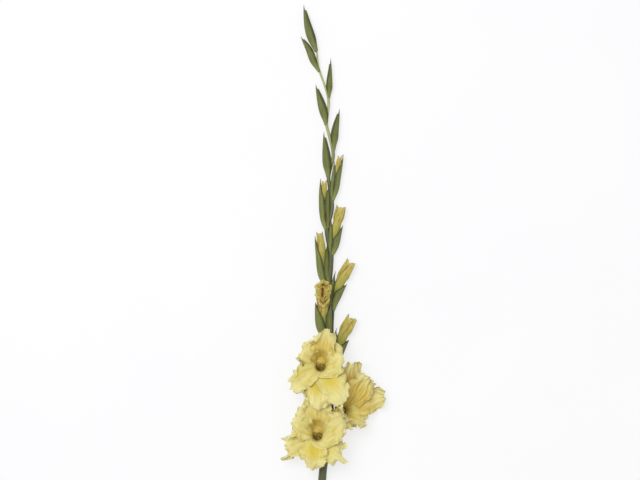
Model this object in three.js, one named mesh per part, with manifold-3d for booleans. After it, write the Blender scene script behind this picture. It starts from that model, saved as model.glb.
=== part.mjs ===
// A cut gladiolus spike lying on its back on a flat surface, its blooms facing up.
// Millimetres, +Z up, +Y up the spike. The surface is z = 0.
import * as THREE from 'three'
import { mergeVertices } from 'three/addons/utils/BufferGeometryUtils.js'
import Module from 'manifold-3d'

const wasm = await Module()
wasm.setup()

// Driving dimensions. Routes run along Y, with x and z as knots of [y, value].
const gap = 0.3
const bractThickness = 0.8
const petalThickness = 0.8
const tubeWall = 0.9

const stem = {
  top: 268,
  cut: -576,
  straightTo: -336,
  straightStep: 60,
  step: 17,
  sides: 8,
  x: [
    [-576, -9], [-470, -4], [-336, 3], [-300, 7], [-266, 13], [-221, 13], [-179, 15], [-147, 14.6],
    [-119, 15.2], [-99, 15.8], [-60, 13], [-40, 14.8], [-20, 15.3], [3, 10.9], [15, 9.8], [42, 16.5],
    [57, 16.1], [78, 13], [89, 11.9], [115, 18.3], [125, 18.2], [146, 13], [162, 9.2], [186, 11.9],
    [199, 11.6], [218, 6], [241, -1.7], [268, -4.8],
  ],
  z: [[-576, 6], [-336, 5.9], [-180, 6.4], [0, 6.6], [140, 6.2], [268, 6]],
  radius: [
    [-576, 6], [-336, 5.6], [-180, 4.5], [-28, 3.5], [49, 2.8], [119, 2.3], [189, 1.8], [268, 1.1],
  ],
}

// One floret for each place on the spike, numbered from the tip. Side is -1 left, 1 right. Each route runs
// from the node on the stem to the top of the bud. The first six are closed. In the rest outer, inner, open
// and free are fractions of the route: where the outer and the inner bract end, where their front edges
// part, and where a bud fills out above them. Spread leans the inner bract away from the bud.
const florets = [
  { side: -1, node: 264, low: [-10, 280], mid: [-16, 299], top: [-22.4, 330], width: 6.1, lift: 1 },
  { side: -1, node: 236, low: [-8, 250], mid: [-15, 267.5], top: [-26.6, 285.6], width: 5.2, lift: 1 },
  { side: 1, node: 198, low: [12.4, 211], mid: [12.8, 224], top: [14.7, 255], width: 4.7, lift: 1 },
  { side: -1, node: 161, low: [7, 175], mid: [2.4, 192], top: [-5.7, 218.4], width: 6.1, lift: 1 },
  { side: 1, node: 124, low: [19.4, 140], mid: [21, 156], top: [27, 184], width: 5.6, lift: 1 },
  { side: -1, node: 88, low: [11.2, 102], mid: [9.6, 119], top: [5.9, 151.9], width: 6.5, lift: 1 },
  { side: 1, node: 54, low: [20, 70], mid: [22.4, 89], top: [27.6, 117], width: 6.4, lift: 2,
    outer: 1.06, inner: 0.9, open: 0.64, free: 1.06, spread: 0.6 },
  { side: -1, node: 13, low: [7, 29], mid: [5.8, 54], top: [5.8, 82], width: 6.9, lift: 2,
    outer: 1.06, inner: 0.96, open: 0.62, free: 1.06, spread: 0.4 },
  { side: 1, node: -22, low: [18.4, -8], mid: [22, 15], top: [29.4, 46], width: 8.4, lift: 2,
    outer: 0.7, inner: 0.84, open: 0.42, free: 0.72, spread: 2.8 },
  { side: -1, node: -66, low: [5.4, -50], mid: [2.8, -19], top: [-0.4, 9.5], width: 8.2, lift: 2,
    outer: 0.96, inner: 0.8, open: 0.42, free: 0.96, spread: 0 },
  { side: 1, node: -101, low: [19.5, -82], mid: [28.2, -59], top: [43.8, -31], width: 9.1, lift: 2,
    outer: 0.62, inner: 0.76, open: 0.42, free: 0.62, spread: 5 },
  { side: -1, node: -142, low: [7, -126], mid: [4.6, -105], top: [4.6, -67], width: 10.8, lift: 17,
    outer: 0.8, inner: 0.78, open: 0.54, free: 1.2, spread: 0, opening: true },
  { side: 1, node: -181, low: [21.4, -163], mid: [31.2, -136], top: [45, -109], width: 9.6, lift: 3,
    outer: 0.6, inner: 0.72, open: 0.42, free: 0.64, spread: 4 },
  { side: -1, node: -222, low: [5, -208], mid: [-3, -188], top: [-10, -166], width: 9, lift: 1,
    outer: 1, inner: 0.9, open: 0.3, free: 1, spread: 0 },
  { side: 1, node: -267, low: [19, -252], mid: [23, -232], top: [28, -208], width: 8.5, lift: 1,
    outer: 1, inner: 0.9, open: 0.3, free: 1, spread: 0 },
  { side: -1, node: -309, low: [0, -296], mid: [-8, -277], top: [-15, -254], width: 9, lift: 1,
    outer: 1, inner: 0.9, open: 0.3, free: 1, spread: 0 },
]

const outerGrid = { rows: 5, columns: 6 }
const innerGrid = { rows: 4, columns: 5 }
const tipward = 1.4
const closedWidth = [
  [0, 0.42], [0.12, 0.62], [0.3, 0.95], [0.44, 1], [0.62, 0.88], [0.8, 0.58], [0.93, 0.28], [1, 0.06],
]
const openWidth = [[0, 0.4], [0.12, 0.62], [0.3, 0.9], [0.5, 1], [0.75, 0.96], [0.9, 0.86], [1.05, 0.68]]
const depthShare = 0.8
const keel = 0.1
const keelSpread = 0.4

// The filling of a closed pair of bracts, and the rolled petals of a bud.
const filling = { from: 0.02, to: 0.9, rows: 4, sides: 8 }
const bud = { from: 0.16, rows: 7, sides: 10, pleat: 0.07, pleats: 4, notches: [1.5, 1.2], fillsOut: 0.12 }

// The frilled petals that loosen at the top of the opening bud: where round the bud each lies, and how far
// up it ends.
const flaps = {
  places: [[0.5, 1.1], [2.1, 1.16], [3.7, 1.06], [5.3, 1.12]],
  from: 0.72, loosen: [0.74, 1.02], width: 0.74, sunk: 0.7, loose: 3, frill: 1.3, rows: 4, columns: 3,
  rounded: 0.07, widest: 0.95, waves: [4.5, 9, 3],
}

// Blooms: where the throat opens, the way it faces, the direction of azimuth 0, and the tube's way from the
// stem. Each petal has its azimuth in degrees, its reach from the axis, half width, height along the axis at
// its middle and its tip, its layer (front 1 or back -1), the phase of its ruffles, and how far its edge on
// the side of the lip wraps round the throat.
const blooms = [
  {
    floret: 14, throat: [0.5, -176, 31], facing: [-0.1, 0.06, 1], zero: [1, 0, 0],
    tube: [[12, -217, 8], [9, -205, 11], [4, -190, 17]],
    petals: [
      { azimuth: 16, reach: 38, half: 20, middle: 10, tip: 6, front: 1, phase: 0.3, wrap: 14 },
      { azimuth: 77, reach: 56, half: 21, middle: 10, tip: 16, front: 1, phase: 1.1, wrap: 0 },
      { azimuth: 147, reach: 39, half: 22, middle: 9, tip: 7, front: -1, phase: 2.0, wrap: 0 },
      { azimuth: 215, reach: 55, half: 16, middle: 10, tip: 8, front: 1, phase: 0.7, wrap: 0 },
      { azimuth: 267, reach: 61, half: 20, middle: 10, tip: 12, front: -1, phase: 1.6, wrap: 0 },
      { azimuth: 311, reach: 55, half: 22, middle: 10, tip: 9, front: -0.3, phase: 2.6, wrap: 0 },
    ],
  },
  {
    floret: 15, throat: [33, -238, 22], facing: [0.6, 0.2, 0.77], zero: [-0.32, 0.93, 0],
    tube: [[15, -263, 9], [17, -254, 11], [23, -245, 14]],
    petals: [
      { azimuth: 340, reach: 63, half: 16, middle: 20, tip: 29, front: -1, phase: 0.5, wrap: 0 },
      { azimuth: 311, reach: 48, half: 18, middle: 22, tip: 32, front: 1, phase: 1.4, wrap: 0 },
      { azimuth: 268, reach: 52, half: 19, middle: 22, tip: 32, front: -1, phase: 2.2, wrap: 0 },
      { azimuth: 222, reach: 34, half: 17, middle: 12, tip: 12, front: 1, phase: 0.9, wrap: 0 },
      { azimuth: 176, reach: 28, half: 15, middle: 10, tip: 8, front: -1, phase: 1.9, wrap: 0 },
      { azimuth: 100, reach: 27, half: 12, middle: 14, tip: 17, front: 1, phase: 2.8, wrap: 0 },
    ],
  },
  {
    floret: 16, throat: [-4, -273, 25], facing: [-0.12, 0.02, 1], zero: [1, 0, 0],
    tube: [[7, -305, 8], [4, -297, 10], [0, -285, 14]],
    petals: [
      { azimuth: 20, reach: 46, half: 21, middle: 9, tip: 6, front: 1, phase: 1.2, wrap: 16 },
      { azimuth: 92, reach: 55, half: 24, middle: 7, tip: 5, front: -0.4, phase: 0.2, wrap: 0 },
      { azimuth: 142, reach: 44, half: 21, middle: 8, tip: 6, front: 1, phase: 2.4, wrap: 0 },
      { azimuth: 207, reach: 63, half: 17, middle: 8, tip: 4, front: -1, phase: 1.7, wrap: 0 },
      { azimuth: 264, reach: 51, half: 20, middle: 9, tip: 6, front: 0.4, phase: 0.6, wrap: 0 },
      { azimuth: 317, reach: 54, half: 21, middle: 7, tip: 3, front: -1, phase: 2.9, wrap: 0 },
    ],
  },
]

// A petal: its half width along it as a share of the widest, where its edge wraps, how its outline squares
// out, the side of the hood, how far its layer stands off, its ruffled edge, frayed outline and midrib.
const throatRadius = 8.2
const petalRows = 7
const petalColumns = 4
const petalWidth = [[0, 0.42], [0.12, 0.56], [0.34, 0.94], [0.6, 1.04], [0.8, 0.9], [0.92, 0.62], [1, 0.1]]
const wrapPlace = { at: 0.25, breadth: 0.22 }
const shoulder = { share: 0.3, from: 0.5, full: 0.9 }
const hoodSide = [-0.3, 0.9]
const layer = { apart: 1.3, from: 0.05, full: 0.25 }
const ruffle = { height: 3.8, waves: 2.4, power: 1.6, lean: 0.7, lag: 1.9, from: 0.22, full: 0.65 }
const fray = { share: 0.09, waves: [26, 5, 2] }
const groove = { depth: 0.7, width: 0.25, from: 0.15, full: 0.4 }
const slopeStep = 0.005

// The tube: its radius along its way, and where it turns from solid to hollow.
const tubeRadius = [[0, 2.4], [0.2, 3.6], [0.5, 4.4], [0.72, 5.4], [0.86, 6.8], [1, throatRadius + 0.4]]
const tubeLevels = [0, 0.2, 0.42, 0.62, 0.78, 0.9]
const tubeFloor = 0.42
const tubeSides = 9
const tubeFoot = { below: 6, lean: 0.25 }

// Where the stamens, the fork of the style and its branches end: sideways, toward the back petal, and ahead
// of the throat.
const stamenRoot = { above: 0.015, height: 0.08, narrows: 0.8 }
const stamenEnds = [[-3.2, 3.4, 5], [-0.6, 5.2, 7], [2.4, 3, 5.5]]
const styleFork = [-0.8, 5.4, 3.5]
const styleEnds = [[-3.6, 7.4, 7], [-0.8, 8.6, 8], [1.8, 7, 7]]
const threadRadius = 0.6
const antherShape = { thread: 0.5, wider: 0.6, from: 0.62, full: 0.75, narrower: 0.7, narrows: 0.85 }
const branchRadius = [0.5, 0.85]
const threadBend = { at: 0.76, share: 0.5 }

const green = { color: 0x667040, roughness: 0.55 }
const olive = { color: 0x7d8258, roughness: 0.5 }
const yellow = { color: 0xbeb05a, roughness: 0.6 }
const cream = { color: 0xdcc97f, roughness: 0.6 }
const ivory = { color: 0xe8dfae, roughness: 0.6 }

// A smooth value at t through knots of [t, value].
function along(knots, t) {
  const last = knots.length - 1
  let k = 0
  while (k < last - 1 && t > knots[k + 1][0]) {
    k += 1
  }
  const slope = i => {
    const before = knots[Math.max(i - 1, 0)]
    const after = knots[Math.min(i + 1, last)]
    return (after[1] - before[1]) / (after[0] - before[0])
  }
  const [start, from] = knots[k]
  const [end, to] = knots[k + 1]
  const span = end - start
  const u = (t - start) / span
  const cubic = u * u * (3 - 2 * u)
  const leaving = slope(k) * span * u * (1 - u) * (1 - u)
  const arriving = slope(k + 1) * span * u * u * (u - 1)
  return from + (to - from) * cubic + leaving + arriving
}

function point([x, y, z]) {
  return new THREE.Vector3(x, y, z)
}

// A curve through points at given values of t.
class Route extends THREE.Curve {
  constructor(times, points) {
    super()
    this.axes = [0, 1, 2].map(axis => times.map((t, i) => [t, points[i][axis]]))
  }

  getPoint(t, target = new THREE.Vector3()) {
    const [x, y, z] = this.axes.map(knots => along(knots, t))
    return target.set(x, y, z)
  }

  direction(t) {
    const step = 0.001
    return this.getPoint(t + step).sub(this.getPoint(t - step)).normalize()
  }
}

// A closed solid from points and triangles, its faces turned outward.
function closedSolid(points, faces) {
  const volume = faces
    .map(([a, b, c]) => points[a].dot(points[b].clone().cross(points[c])))
    .reduce((sum, part) => sum + part)
  const turned = volume > 0 ? faces : faces.map(([a, b, c]) => [a, c, b])
  const geometry = new THREE.BufferGeometry().setFromPoints(points)
  geometry.setIndex(turned.flat())
  const merged = mergeVertices(geometry, 1e-4)
  const vertProperties = new Float32Array(merged.attributes.position.array)
  const triVerts = new Uint32Array(merged.index.array)
  return new wasm.Manifold(new wasm.Mesh({ numProp: 3, vertProperties, triVerts }))
}

// A solid skinned over a stack of rings and closed at both ends.
function skin(rings) {
  const count = rings[0].length
  const points = rings.flat()
  const faces = []
  for (let r = 0; r < rings.length - 1; r += 1) {
    for (let k = 0; k < count; k += 1) {
      const a = r * count + k
      const b = r * count + (k + 1) % count
      faces.push([a, b, b + count], [a, b + count, a + count])
    }
  }
  const last = (rings.length - 1) * count
  const [start, end] = [points.length, points.length + 1]
  points.push(middle(rings[0]), middle(rings[rings.length - 1]))
  for (let k = 0; k < count; k += 1) {
    const next = (k + 1) % count
    faces.push([start, next, k], [end, last + k, last + next])
  }
  return closedSolid(points, faces)
}

function middle(ring) {
  return ring.reduce((sum, p) => sum.add(p), new THREE.Vector3()).divideScalar(ring.length)
}

// A thin closed solid between a front and a back grid of points, with a rim round them.
function sheet(front, back) {
  const rows = front.length
  const columns = front[0].length
  const points = [...front.flat(), ...back.flat()]
  const under = rows * columns
  const at = (i, j) => i * columns + j
  const faces = []
  for (let i = 0; i < rows - 1; i += 1) {
    for (let j = 0; j < columns - 1; j += 1) {
      const [a, b, c, d] = [at(i, j), at(i, j + 1), at(i + 1, j + 1), at(i + 1, j)]
      faces.push([a, b, c], [a, c, d])
      faces.push([under + a, under + c, under + b], [under + a, under + d, under + c])
    }
  }
  const rim = []
  for (let j = 0; j < columns - 1; j += 1) {
    rim.push([at(0, j + 1), at(0, j)], [at(rows - 1, j), at(rows - 1, j + 1)])
  }
  for (let i = 0; i < rows - 1; i += 1) {
    rim.push([at(i, 0), at(i + 1, 0)], [at(i + 1, columns - 1), at(i, columns - 1)])
  }
  for (const [a, b] of rim) {
    faces.push([a, b, under + b], [a, under + b, under + a])
  }
  return closedSolid(points, faces)
}

function joined(solids) {
  return solids.reduce((sum, solid) => sum.add(solid))
}

// The one body that counts: scraps are dropped and sealed hollows are filled.
function largest(solid) {
  return solid.decompose().reduce((best, body) => (body.volume() > best.volume() ? body : best))
}

function meshOf(solid, name, { color, roughness }) {
  const { vertProperties, triVerts } = largest(solid).getMesh()
  const geometry = new THREE.BufferGeometry()
  geometry.setAttribute('position', new THREE.BufferAttribute(vertProperties, 3))
  geometry.setIndex(new THREE.BufferAttribute(triVerts, 1))
  geometry.computeVertexNormals()
  const mesh = new THREE.Mesh(geometry, new THREE.MeshStandardMaterial({ color, roughness, metalness: 0 }))
  mesh.name = name
  return mesh
}

function ring(centre, across, up, radiusAt, sides) {
  return Array.from({ length: sides }, (_, k) => {
    const angle = 2 * Math.PI * k / sides
    const radius = radiusAt(angle)
    return centre.clone()
      .addScaledVector(across, radius * Math.cos(angle))
      .addScaledVector(up, radius * Math.sin(angle))
  })
}

// A round rod or tapered root along a route, square to a reference direction.
function rod(route, radiusAt, reference, steps, sides) {
  const rings = []
  for (let i = 0; i <= steps; i += 1) {
    const t = i / steps
    const [across, up] = squareTo(route.direction(t), reference)
    rings.push(ring(route.getPoint(t), across, up, () => radiusAt(t), sides))
  }
  return skin(rings)
}

function squareTo(direction, reference) {
  const across = reference.clone().addScaledVector(direction, -reference.dot(direction)).normalize()
  return [across, direction.clone().cross(across)]
}

function stemPoint(y) {
  return new THREE.Vector3(along(stem.x, y), y, along(stem.z, y))
}

// Where the stem has its rings: far apart on the straight length, close on the zigzag.
function stemStations() {
  const stations = []
  for (let y = stem.cut; y < stem.straightTo; y += stem.straightStep) {
    stations.push(y)
  }
  const count = Math.round((stem.top - stem.straightTo) / stem.step)
  for (let i = 0; i <= count; i += 1) {
    stations.push(THREE.MathUtils.lerp(stem.straightTo, stem.top, i / count))
  }
  return stations
}

// The stem, or a stouter copy that cuts the seats of the bracts.
function stemSolid(extra) {
  const rings = []
  for (const y of stemStations()) {
    const direction = stemPoint(y + 1).sub(stemPoint(y - 1)).normalize()
    const [across, up] = squareTo(direction, new THREE.Vector3(1, 0, 0))
    rings.push(ring(stemPoint(y), across, up, () => along(stem.radius, y) + extra, stem.sides))
  }
  return skin(rings)
}

function floretRoute({ node, low, mid, top, lift }) {
  const base = stemPoint(node)
  const points = [
    [base.x, base.y, base.z],
    [...low, base.z + 0.4 * lift],
    [...mid, base.z + 0.7 * lift],
    [...top, base.z + lift],
  ]
  return new Route([0, 0.27, 0.6, 1], points)
}

// The outside of a floret's bracts at t, at an angle from the keel that faces away from the stem.
function bractPoint(floret, route, t, angle, inset) {
  const profile = floret.outer ? openWidth : closedWidth
  const width = Math.max(floret.width * along(profile, t) - inset, 0.05)
  const depth = Math.max(floret.width * along(profile, t) * depthShare - inset, 0.05)
  const direction = route.direction(t)
  const out = new THREE.Vector3(direction.y, -direction.x, 0).normalize().multiplyScalar(floret.side)
  const face = out.clone().cross(direction).multiplyScalar(floret.side)
  const ridge = 1 + keel * Math.exp(-((angle / keelSpread) ** 2))
  const p = route.getPoint(t)
    .addScaledVector(out, width * ridge * Math.cos(angle))
    .addScaledVector(face, depth * Math.sin(angle))
  p.z = Math.max(p.z, inset)
  return p
}

// A boat-shaped bract as a shell. Its edges are front and back, in radians from its keel. The keel faces
// away from the stem, or toward it where the bract is turned. Its rows lie closer near the tip.
function bractShell(floret, route, { rows, columns }, { from, to, front, back, turned, inset, lean }) {
  const grids = [inset, inset + bractThickness].map(depth => {
    const grid = []
    for (let i = 0; i <= rows; i += 1) {
      const t = THREE.MathUtils.lerp(to, from, (1 - i / rows) ** tipward)
      const [high, low] = [along(front, t), -along(back, t)]
      const row = []
      for (let j = 0; j <= columns; j += 1) {
        const angle = THREE.MathUtils.lerp(low, high, j / columns)
        const p = bractPoint(floret, route, t, turned ? Math.PI - angle : angle, depth)
        p.x -= floret.side * lean * ((t - from) / (to - from)) ** 2
        row.push(p)
      }
      grid.push(row)
    }
    return grid
  })
  return sheet(grids[0], grids[1])
}

// Green bracts still closed round the bud: the outer one clasps the inner, which fills it.
function closedBracts(floret, route) {
  const edge = [[0, 1.7], [0.2, 2.4], [0.7, 2.2], [0.9, 1.6], [1, 1]]
  const shape = { from: 0, to: 1, turned: false, inset: 0, lean: 0, front: edge, back: edge }
  const rings = []
  for (let i = 0; i <= filling.rows; i += 1) {
    const t = THREE.MathUtils.lerp(filling.from, filling.to, i / filling.rows)
    const angles = Array.from({ length: filling.sides }, (_, k) => 2 * Math.PI * k / filling.sides)
    rings.push(angles.map(angle => bractPoint(floret, route, t, angle, bractThickness / 2)))
  }
  return joined([bractShell(floret, route, outerGrid, shape), skin(rings)])
}

// The two bracts of a floret whose bud shows: the inner one lies against the back of the outer one.
function openBracts(floret, route) {
  const { outer, inner, open, spread } = floret
  const outerShell = bractShell(floret, route, outerGrid, {
    from: 0, to: outer, turned: false, inset: 0, lean: 0,
    front: [[0, 1.5], [0.2, 1.75], [open, 1.65], [(open + outer) / 2, 0.95], [outer, 0.14]],
    back: [[0, 1.6], [0.15, 2], [open, 1.95], [(open + outer) / 2, 1.2], [outer, 0.14]],
  })
  const innerShell = bractShell(floret, route, innerGrid, {
    from: 0.05, to: inner, turned: true, inset: bractThickness * 0.4, lean: spread,
    front: [[0, 1.2], [0.2, 1.36], [open, 1.36], [(open + inner) / 2, 1], [inner, 0.16]],
    back: [[0, 1.4], [0.15, 1.6], [open, 1.5], [(open + inner) / 2, 1.1], [inner, 0.16]],
  })
  return joined([outerShell, innerShell])
}

// The rolled petals of a bud: pleated, slimmer inside the bracts and blunt on top, with uneven tips.
function budSolid(floret, route) {
  const [deep, shallow] = bud.notches
  const rings = []
  for (let i = 0; i <= bud.rows; i += 1) {
    const t = THREE.MathUtils.lerp(bud.from, 1, i / bud.rows)
    const tips = i === bud.rows ? 1 : 0
    rings.push(Array.from({ length: bud.sides }, (_, k) => {
      const angle = 2 * Math.PI * k / bud.sides
      const pleat = 1 - bud.pleat * (1 + Math.cos(angle * bud.pleats + 2 * t))
      const notch = tips * (deep * Math.cos(2 * angle) + shallow * Math.cos(3 * angle + floret.width))
      return budPoint(route, t, angle, budRadius(floret, t) * pleat, notch)
    }))
  }
  const core = skin(rings)
  return floret.opening ? joined([core, ...openingPetals(floret, route)]) : core
}

// The half width of a bud at t: inside its bracts it leaves them room, and above them it fills out.
function budRadius(floret, t) {
  const relief = THREE.MathUtils.smoothstep(t, floret.free, floret.free + bud.fillsOut)
  const bractRoom = 1.4 * bractThickness + gap + 0.09 * floret.width
  return floret.width * along(openWidth, t) - bractRoom * (1 - relief)
}

function budPoint(route, t, angle, radius, ahead) {
  const direction = route.direction(t)
  const out = new THREE.Vector3(direction.y, -direction.x, 0).normalize()
  const face = out.clone().cross(direction)
  const p = route.getPoint(t)
    .addScaledVector(out, radius * Math.cos(angle))
    .addScaledVector(face, radius * depthShare * Math.sin(angle))
    .addScaledVector(direction, ahead)
  p.z = Math.max(p.z, bractThickness + gap)
  return p
}

// Frilled petals that loosen round the top of an opening bud.
function openingPetals(floret, route) {
  return flaps.places.map(([turn, end]) => {
    const surface = (s, v) => {
      const t = THREE.MathUtils.lerp(flaps.from, end, s) - flaps.rounded * v * v * s
      const clear = flaps.sunk * (2 * THREE.MathUtils.smoothstep(s, 0, 0.25) - 1)
      const loose = THREE.MathUtils.smoothstep(t, ...flaps.loosen)
      const [perSide, perWay, perTurn] = flaps.waves
      const frill = flaps.loose + flaps.frill * Math.sin(perSide * v + perWay * s + perTurn * turn)
      const radius = budRadius(floret, Math.min(t, flaps.widest)) + clear + loose * frill
      return budPoint(route, t, turn + flaps.width * v, radius, 0)
    }
    return blade(surface, flaps.rows, flaps.columns, petalThickness)
  })
}

function bloomFrame({ throat, facing, zero }) {
  const axis = point(facing).normalize()
  const [right, up] = squareTo(axis, point(zero))
  return { origin: point(throat), axis, right, up }
}

// The way of a petal from its claw in the throat to its tip: distance from the axis, and height along the
// axis toward the lip and toward the hood, where the throat slopes up more gently.
function petalWay({ reach, middle: height, tip }) {
  return {
    away: [
      [0, throatRadius - 2], [0.08, throatRadius - 0.8], [0.16, throatRadius + 1.6], [0.4, reach * 0.42],
      [0.72, reach * 0.76], [1, reach],
    ],
    lip: [[0, -6], [0.08, -1.5], [0.16, 2.4], [0.4, height * 0.72], [0.72, height], [1, tip]],
    hood: [[0, -10], [0.08, -6], [0.16, -2.6], [0.4, height * 0.5], [0.72, height], [1, tip]],
  }
}

// The plain surface of a petal, one of six that overlap in a funnel round the throat.
function petalPlain(frame, petal, s, v) {
  const { smoothstep, degToRad, lerp } = THREE.MathUtils
  const way = petalWay(petal)
  const [perReach, perPhase, perSide] = fray.waves
  const frayed = 1 + fray.share * Math.sin(perReach * s + perPhase * petal.phase + perSide * v)
  const wrapped = petal.wrap * Math.exp(-(((s - wrapPlace.at) / wrapPlace.breadth) ** 2))
  const half = petal.half * along(petalWidth, s) * frayed + wrapped * smoothstep(-v, 0, 0.8)
  const straight = along(way.away, s)
  const offset = half * v / straight
  const angle = degToRad(petal.azimuth) + offset
  const hood = smoothstep(Math.sin(angle), ...hoodSide)
  const squared = shoulder.share * Math.min(offset ** 2, 1) * smoothstep(s, shoulder.from, shoulder.full)
  const away = straight * (1 + squared)
  const ahead = lerp(along(way.lip, s), along(way.hood, s), hood)
  return offsetFrom(frame, [Math.cos(angle) * away, Math.sin(angle) * away, ahead])
}

// The middle surface of a petal, ruffled toward its edge. The petals of the front layer wave forward and
// those of the back layer wave backward.
function petalSurface(frame, petal) {
  const { smoothstep } = THREE.MathUtils
  return (s, v) => {
    const [inner, outer] = [Math.max(s - slopeStep, 0), Math.min(s + slopeStep, 1)]
    const direction = petalPlain(frame, petal, outer, v).sub(petalPlain(frame, petal, inner, v))
    const across = petalPlain(frame, petal, s, v + slopeStep).sub(petalPlain(frame, petal, s, v - slopeStep))
    const normal = direction.cross(across).normalize()
    const edge = Math.abs(v) ** ruffle.power * smoothstep(s, ruffle.from, ruffle.full)
    const lag = v < 0 ? ruffle.lag : 0
    const wave = Math.sin(2 * Math.PI * ruffle.waves * s + petal.phase * 2 + lag) + ruffle.lean * petal.front
    const midrib = Math.exp(-((v / groove.width) ** 2)) * smoothstep(s, groove.from, groove.full)
    const apart = petal.front * layer.apart * smoothstep(s, layer.from, layer.full)
    const stand = apart + ruffle.height * edge * wave - groove.depth * midrib
    return petalPlain(frame, petal, s, v).addScaledVector(normal, stand)
  }
}

// A thin solid over a surface of s and v, half its thickness to each side, and never below z = 0.
function blade(surface, rows, columns, thickness) {
  const grids = [[], []]
  for (let i = 0; i <= rows; i += 1) {
    const s = i / rows
    const pair = [[], []]
    for (let j = 0; j <= columns; j += 1) {
      const v = 2 * j / columns - 1
      const step = 0.01
      const down = surface(Math.min(s + step, 1), v).sub(surface(Math.max(s - step, 0), v))
      const over = surface(s, v + step).sub(surface(s, v - step))
      const normal = down.cross(over).normalize()
      const lift = normal.z < 0 ? [0, thickness] : [thickness, 0]
      for (const k of [0, 1]) {
        const p = surface(s, v).addScaledVector(normal, thickness * (0.5 - k))
        p.z = Math.max(p.z, lift[k])
        pair[k].push(p)
      }
    }
    grids[0].push(pair[0])
    grids[1].push(pair[1])
  }
  return sheet(grids[0], grids[1])
}

function tubeRoute(bloom, frame) {
  const bend = point(bloom.tube[2]).sub(frame.origin).multiplyScalar(tubeFoot.lean)
  const foot = frame.origin.clone().addScaledVector(frame.axis, -tubeFoot.below).add(bend)
  return new Route([0, 0.25, 0.5, 0.8, 1], [...bloom.tube, foot.toArray(), frame.origin.toArray()])
}

// The tube: solid at the ovary, hollow above it and open at the throat. With extra it cuts its own seat.
function tubeSolid(route, extra, reference) {
  const ringAt = (t, radius) => {
    const [across, up] = squareTo(route.direction(t), reference)
    return ring(route.getPoint(t), across, up, () => radius, tubeSides)
  }
  const outside = tubeLevels.map(t => ringAt(t, along(tubeRadius, t) + extra))
  if (extra > 0) {
    return skin(outside)
  }
  const inside = tubeLevels
    .filter(t => t >= tubeFloor)
    .map(t => ringAt(t, along(tubeRadius, t) - tubeWall))
  return skin([...outside, ...inside.reverse()])
}

// Three stamens and a style that rise together from the floor of the tube.
function stamenSolid(frame, route, reference) {
  const floor = tubeFloor + stamenRoot.above
  const ends = [floor, floor + stamenRoot.height].map(t => route.getPoint(t).toArray())
  const rootRadius = t => along(tubeRadius, floor) - tubeWall - gap - stamenRoot.narrows * t
  const root = rod(new Route([0, 1], ends), rootRadius, reference, 1, 6)
  const stamens = stamenEnds.map(end => rod(threadRoute(route, frame, end), anther, reference, 5, 4))
  const style = rod(threadRoute(route, frame, styleFork), () => threadRadius, reference, 3, 4)
  const fork = offsetFrom(frame, styleFork).toArray()
  const branches = styleEnds.map(end => {
    const way = new Route([0, 1], [fork, offsetFrom(frame, end).toArray()])
    return rod(way, t => THREE.MathUtils.lerp(...branchRadius, t), reference, 1, 4)
  })
  return joined([root, ...stamens, style, ...branches])
}

// The radius of a stamen: a thread that carries a long anther.
function anther(t) {
  const { smoothstep } = THREE.MathUtils
  const wider = antherShape.wider * smoothstep(t, antherShape.from, antherShape.full)
  return antherShape.thread + wider - antherShape.narrower * smoothstep(t, antherShape.narrows, 1)
}

function offsetFrom(frame, [sideways, over, ahead]) {
  return frame.origin.clone()
    .addScaledVector(frame.right, sideways)
    .addScaledVector(frame.up, over)
    .addScaledVector(frame.axis, ahead)
}

// The way of a thread from the root, up the tube, to its end at the throat.
function threadRoute(route, frame, end) {
  const beside = t => route.getPoint(t)
    .addScaledVector(frame.right, end[0] * threadBend.share)
    .addScaledVector(frame.up, end[1] * threadBend.share)
  const start = beside(tubeFloor + stamenRoot.above + stamenRoot.height / 2)
  return new Route([0, 0.5, 1], [start, beside(threadBend.at), offsetFrom(frame, end)].map(p => p.toArray()))
}

// The bracts and flower of an open bloom, each cut clear of the stem.
function bloomMeshes(floret, bloom, number, seat) {
  const frame = bloomFrame(bloom)
  const reference = point(bloom.zero)
  const way = tubeRoute(bloom, frame)
  const bracts = openBracts(floret, floretRoute(floret)).subtract(seat)
  const petals = bloom.petals.map(petal => {
    return blade(petalSurface(frame, petal), petalRows, petalColumns, petalThickness)
  })
  const flower = joined([tubeSolid(way, 0, reference), ...petals]).subtract(seat)
  return [
    meshOf(bracts.subtract(tubeSolid(way, gap, reference)), `bracts_${number}`, green),
    meshOf(flower, `petals_${number}`, cream),
    meshOf(stamenSolid(frame, way, reference), `stamens_${number}`, ivory),
  ]
}

function budMeshes(floret, number, seat) {
  const route = floretRoute(floret)
  return [
    meshOf(openBracts(floret, route).subtract(seat), `bracts_${number}`, green),
    meshOf(budSolid(floret, route).subtract(seat), `bud_${number}`, yellow),
  ]
}

function closedMeshes(floret, number, seat) {
  const bracts = closedBracts(floret, floretRoute(floret)).subtract(seat)
  return [meshOf(bracts, `bracts_${number}`, green)]
}

function build() {
  const group = new THREE.Group()
  const seat = stemSolid(gap)
  group.add(meshOf(stemSolid(0), 'stem', olive))
  florets.forEach((floret, index) => {
    const number = String(index + 1).padStart(2, '0')
    const bloom = blooms.find(b => b.floret === index + 1)
    if (bloom) {
      group.add(...bloomMeshes(floret, bloom, number, seat))
    } else {
      const meshes = floret.outer ? budMeshes : closedMeshes
      group.add(...meshes(floret, number, seat))
    }
  })
  const box = new THREE.Box3().setFromObject(group)
  const centre = box.getCenter(new THREE.Vector3())
  group.position.set(-centre.x, -centre.y, -box.min.z)
  group.updateMatrixWorld(true)
  return group
}

export default build()
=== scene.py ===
"""A cut gladiolus spike on a pale floor: fine petals, bracts, buds and stem in place of plain solids."""
import math

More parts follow.
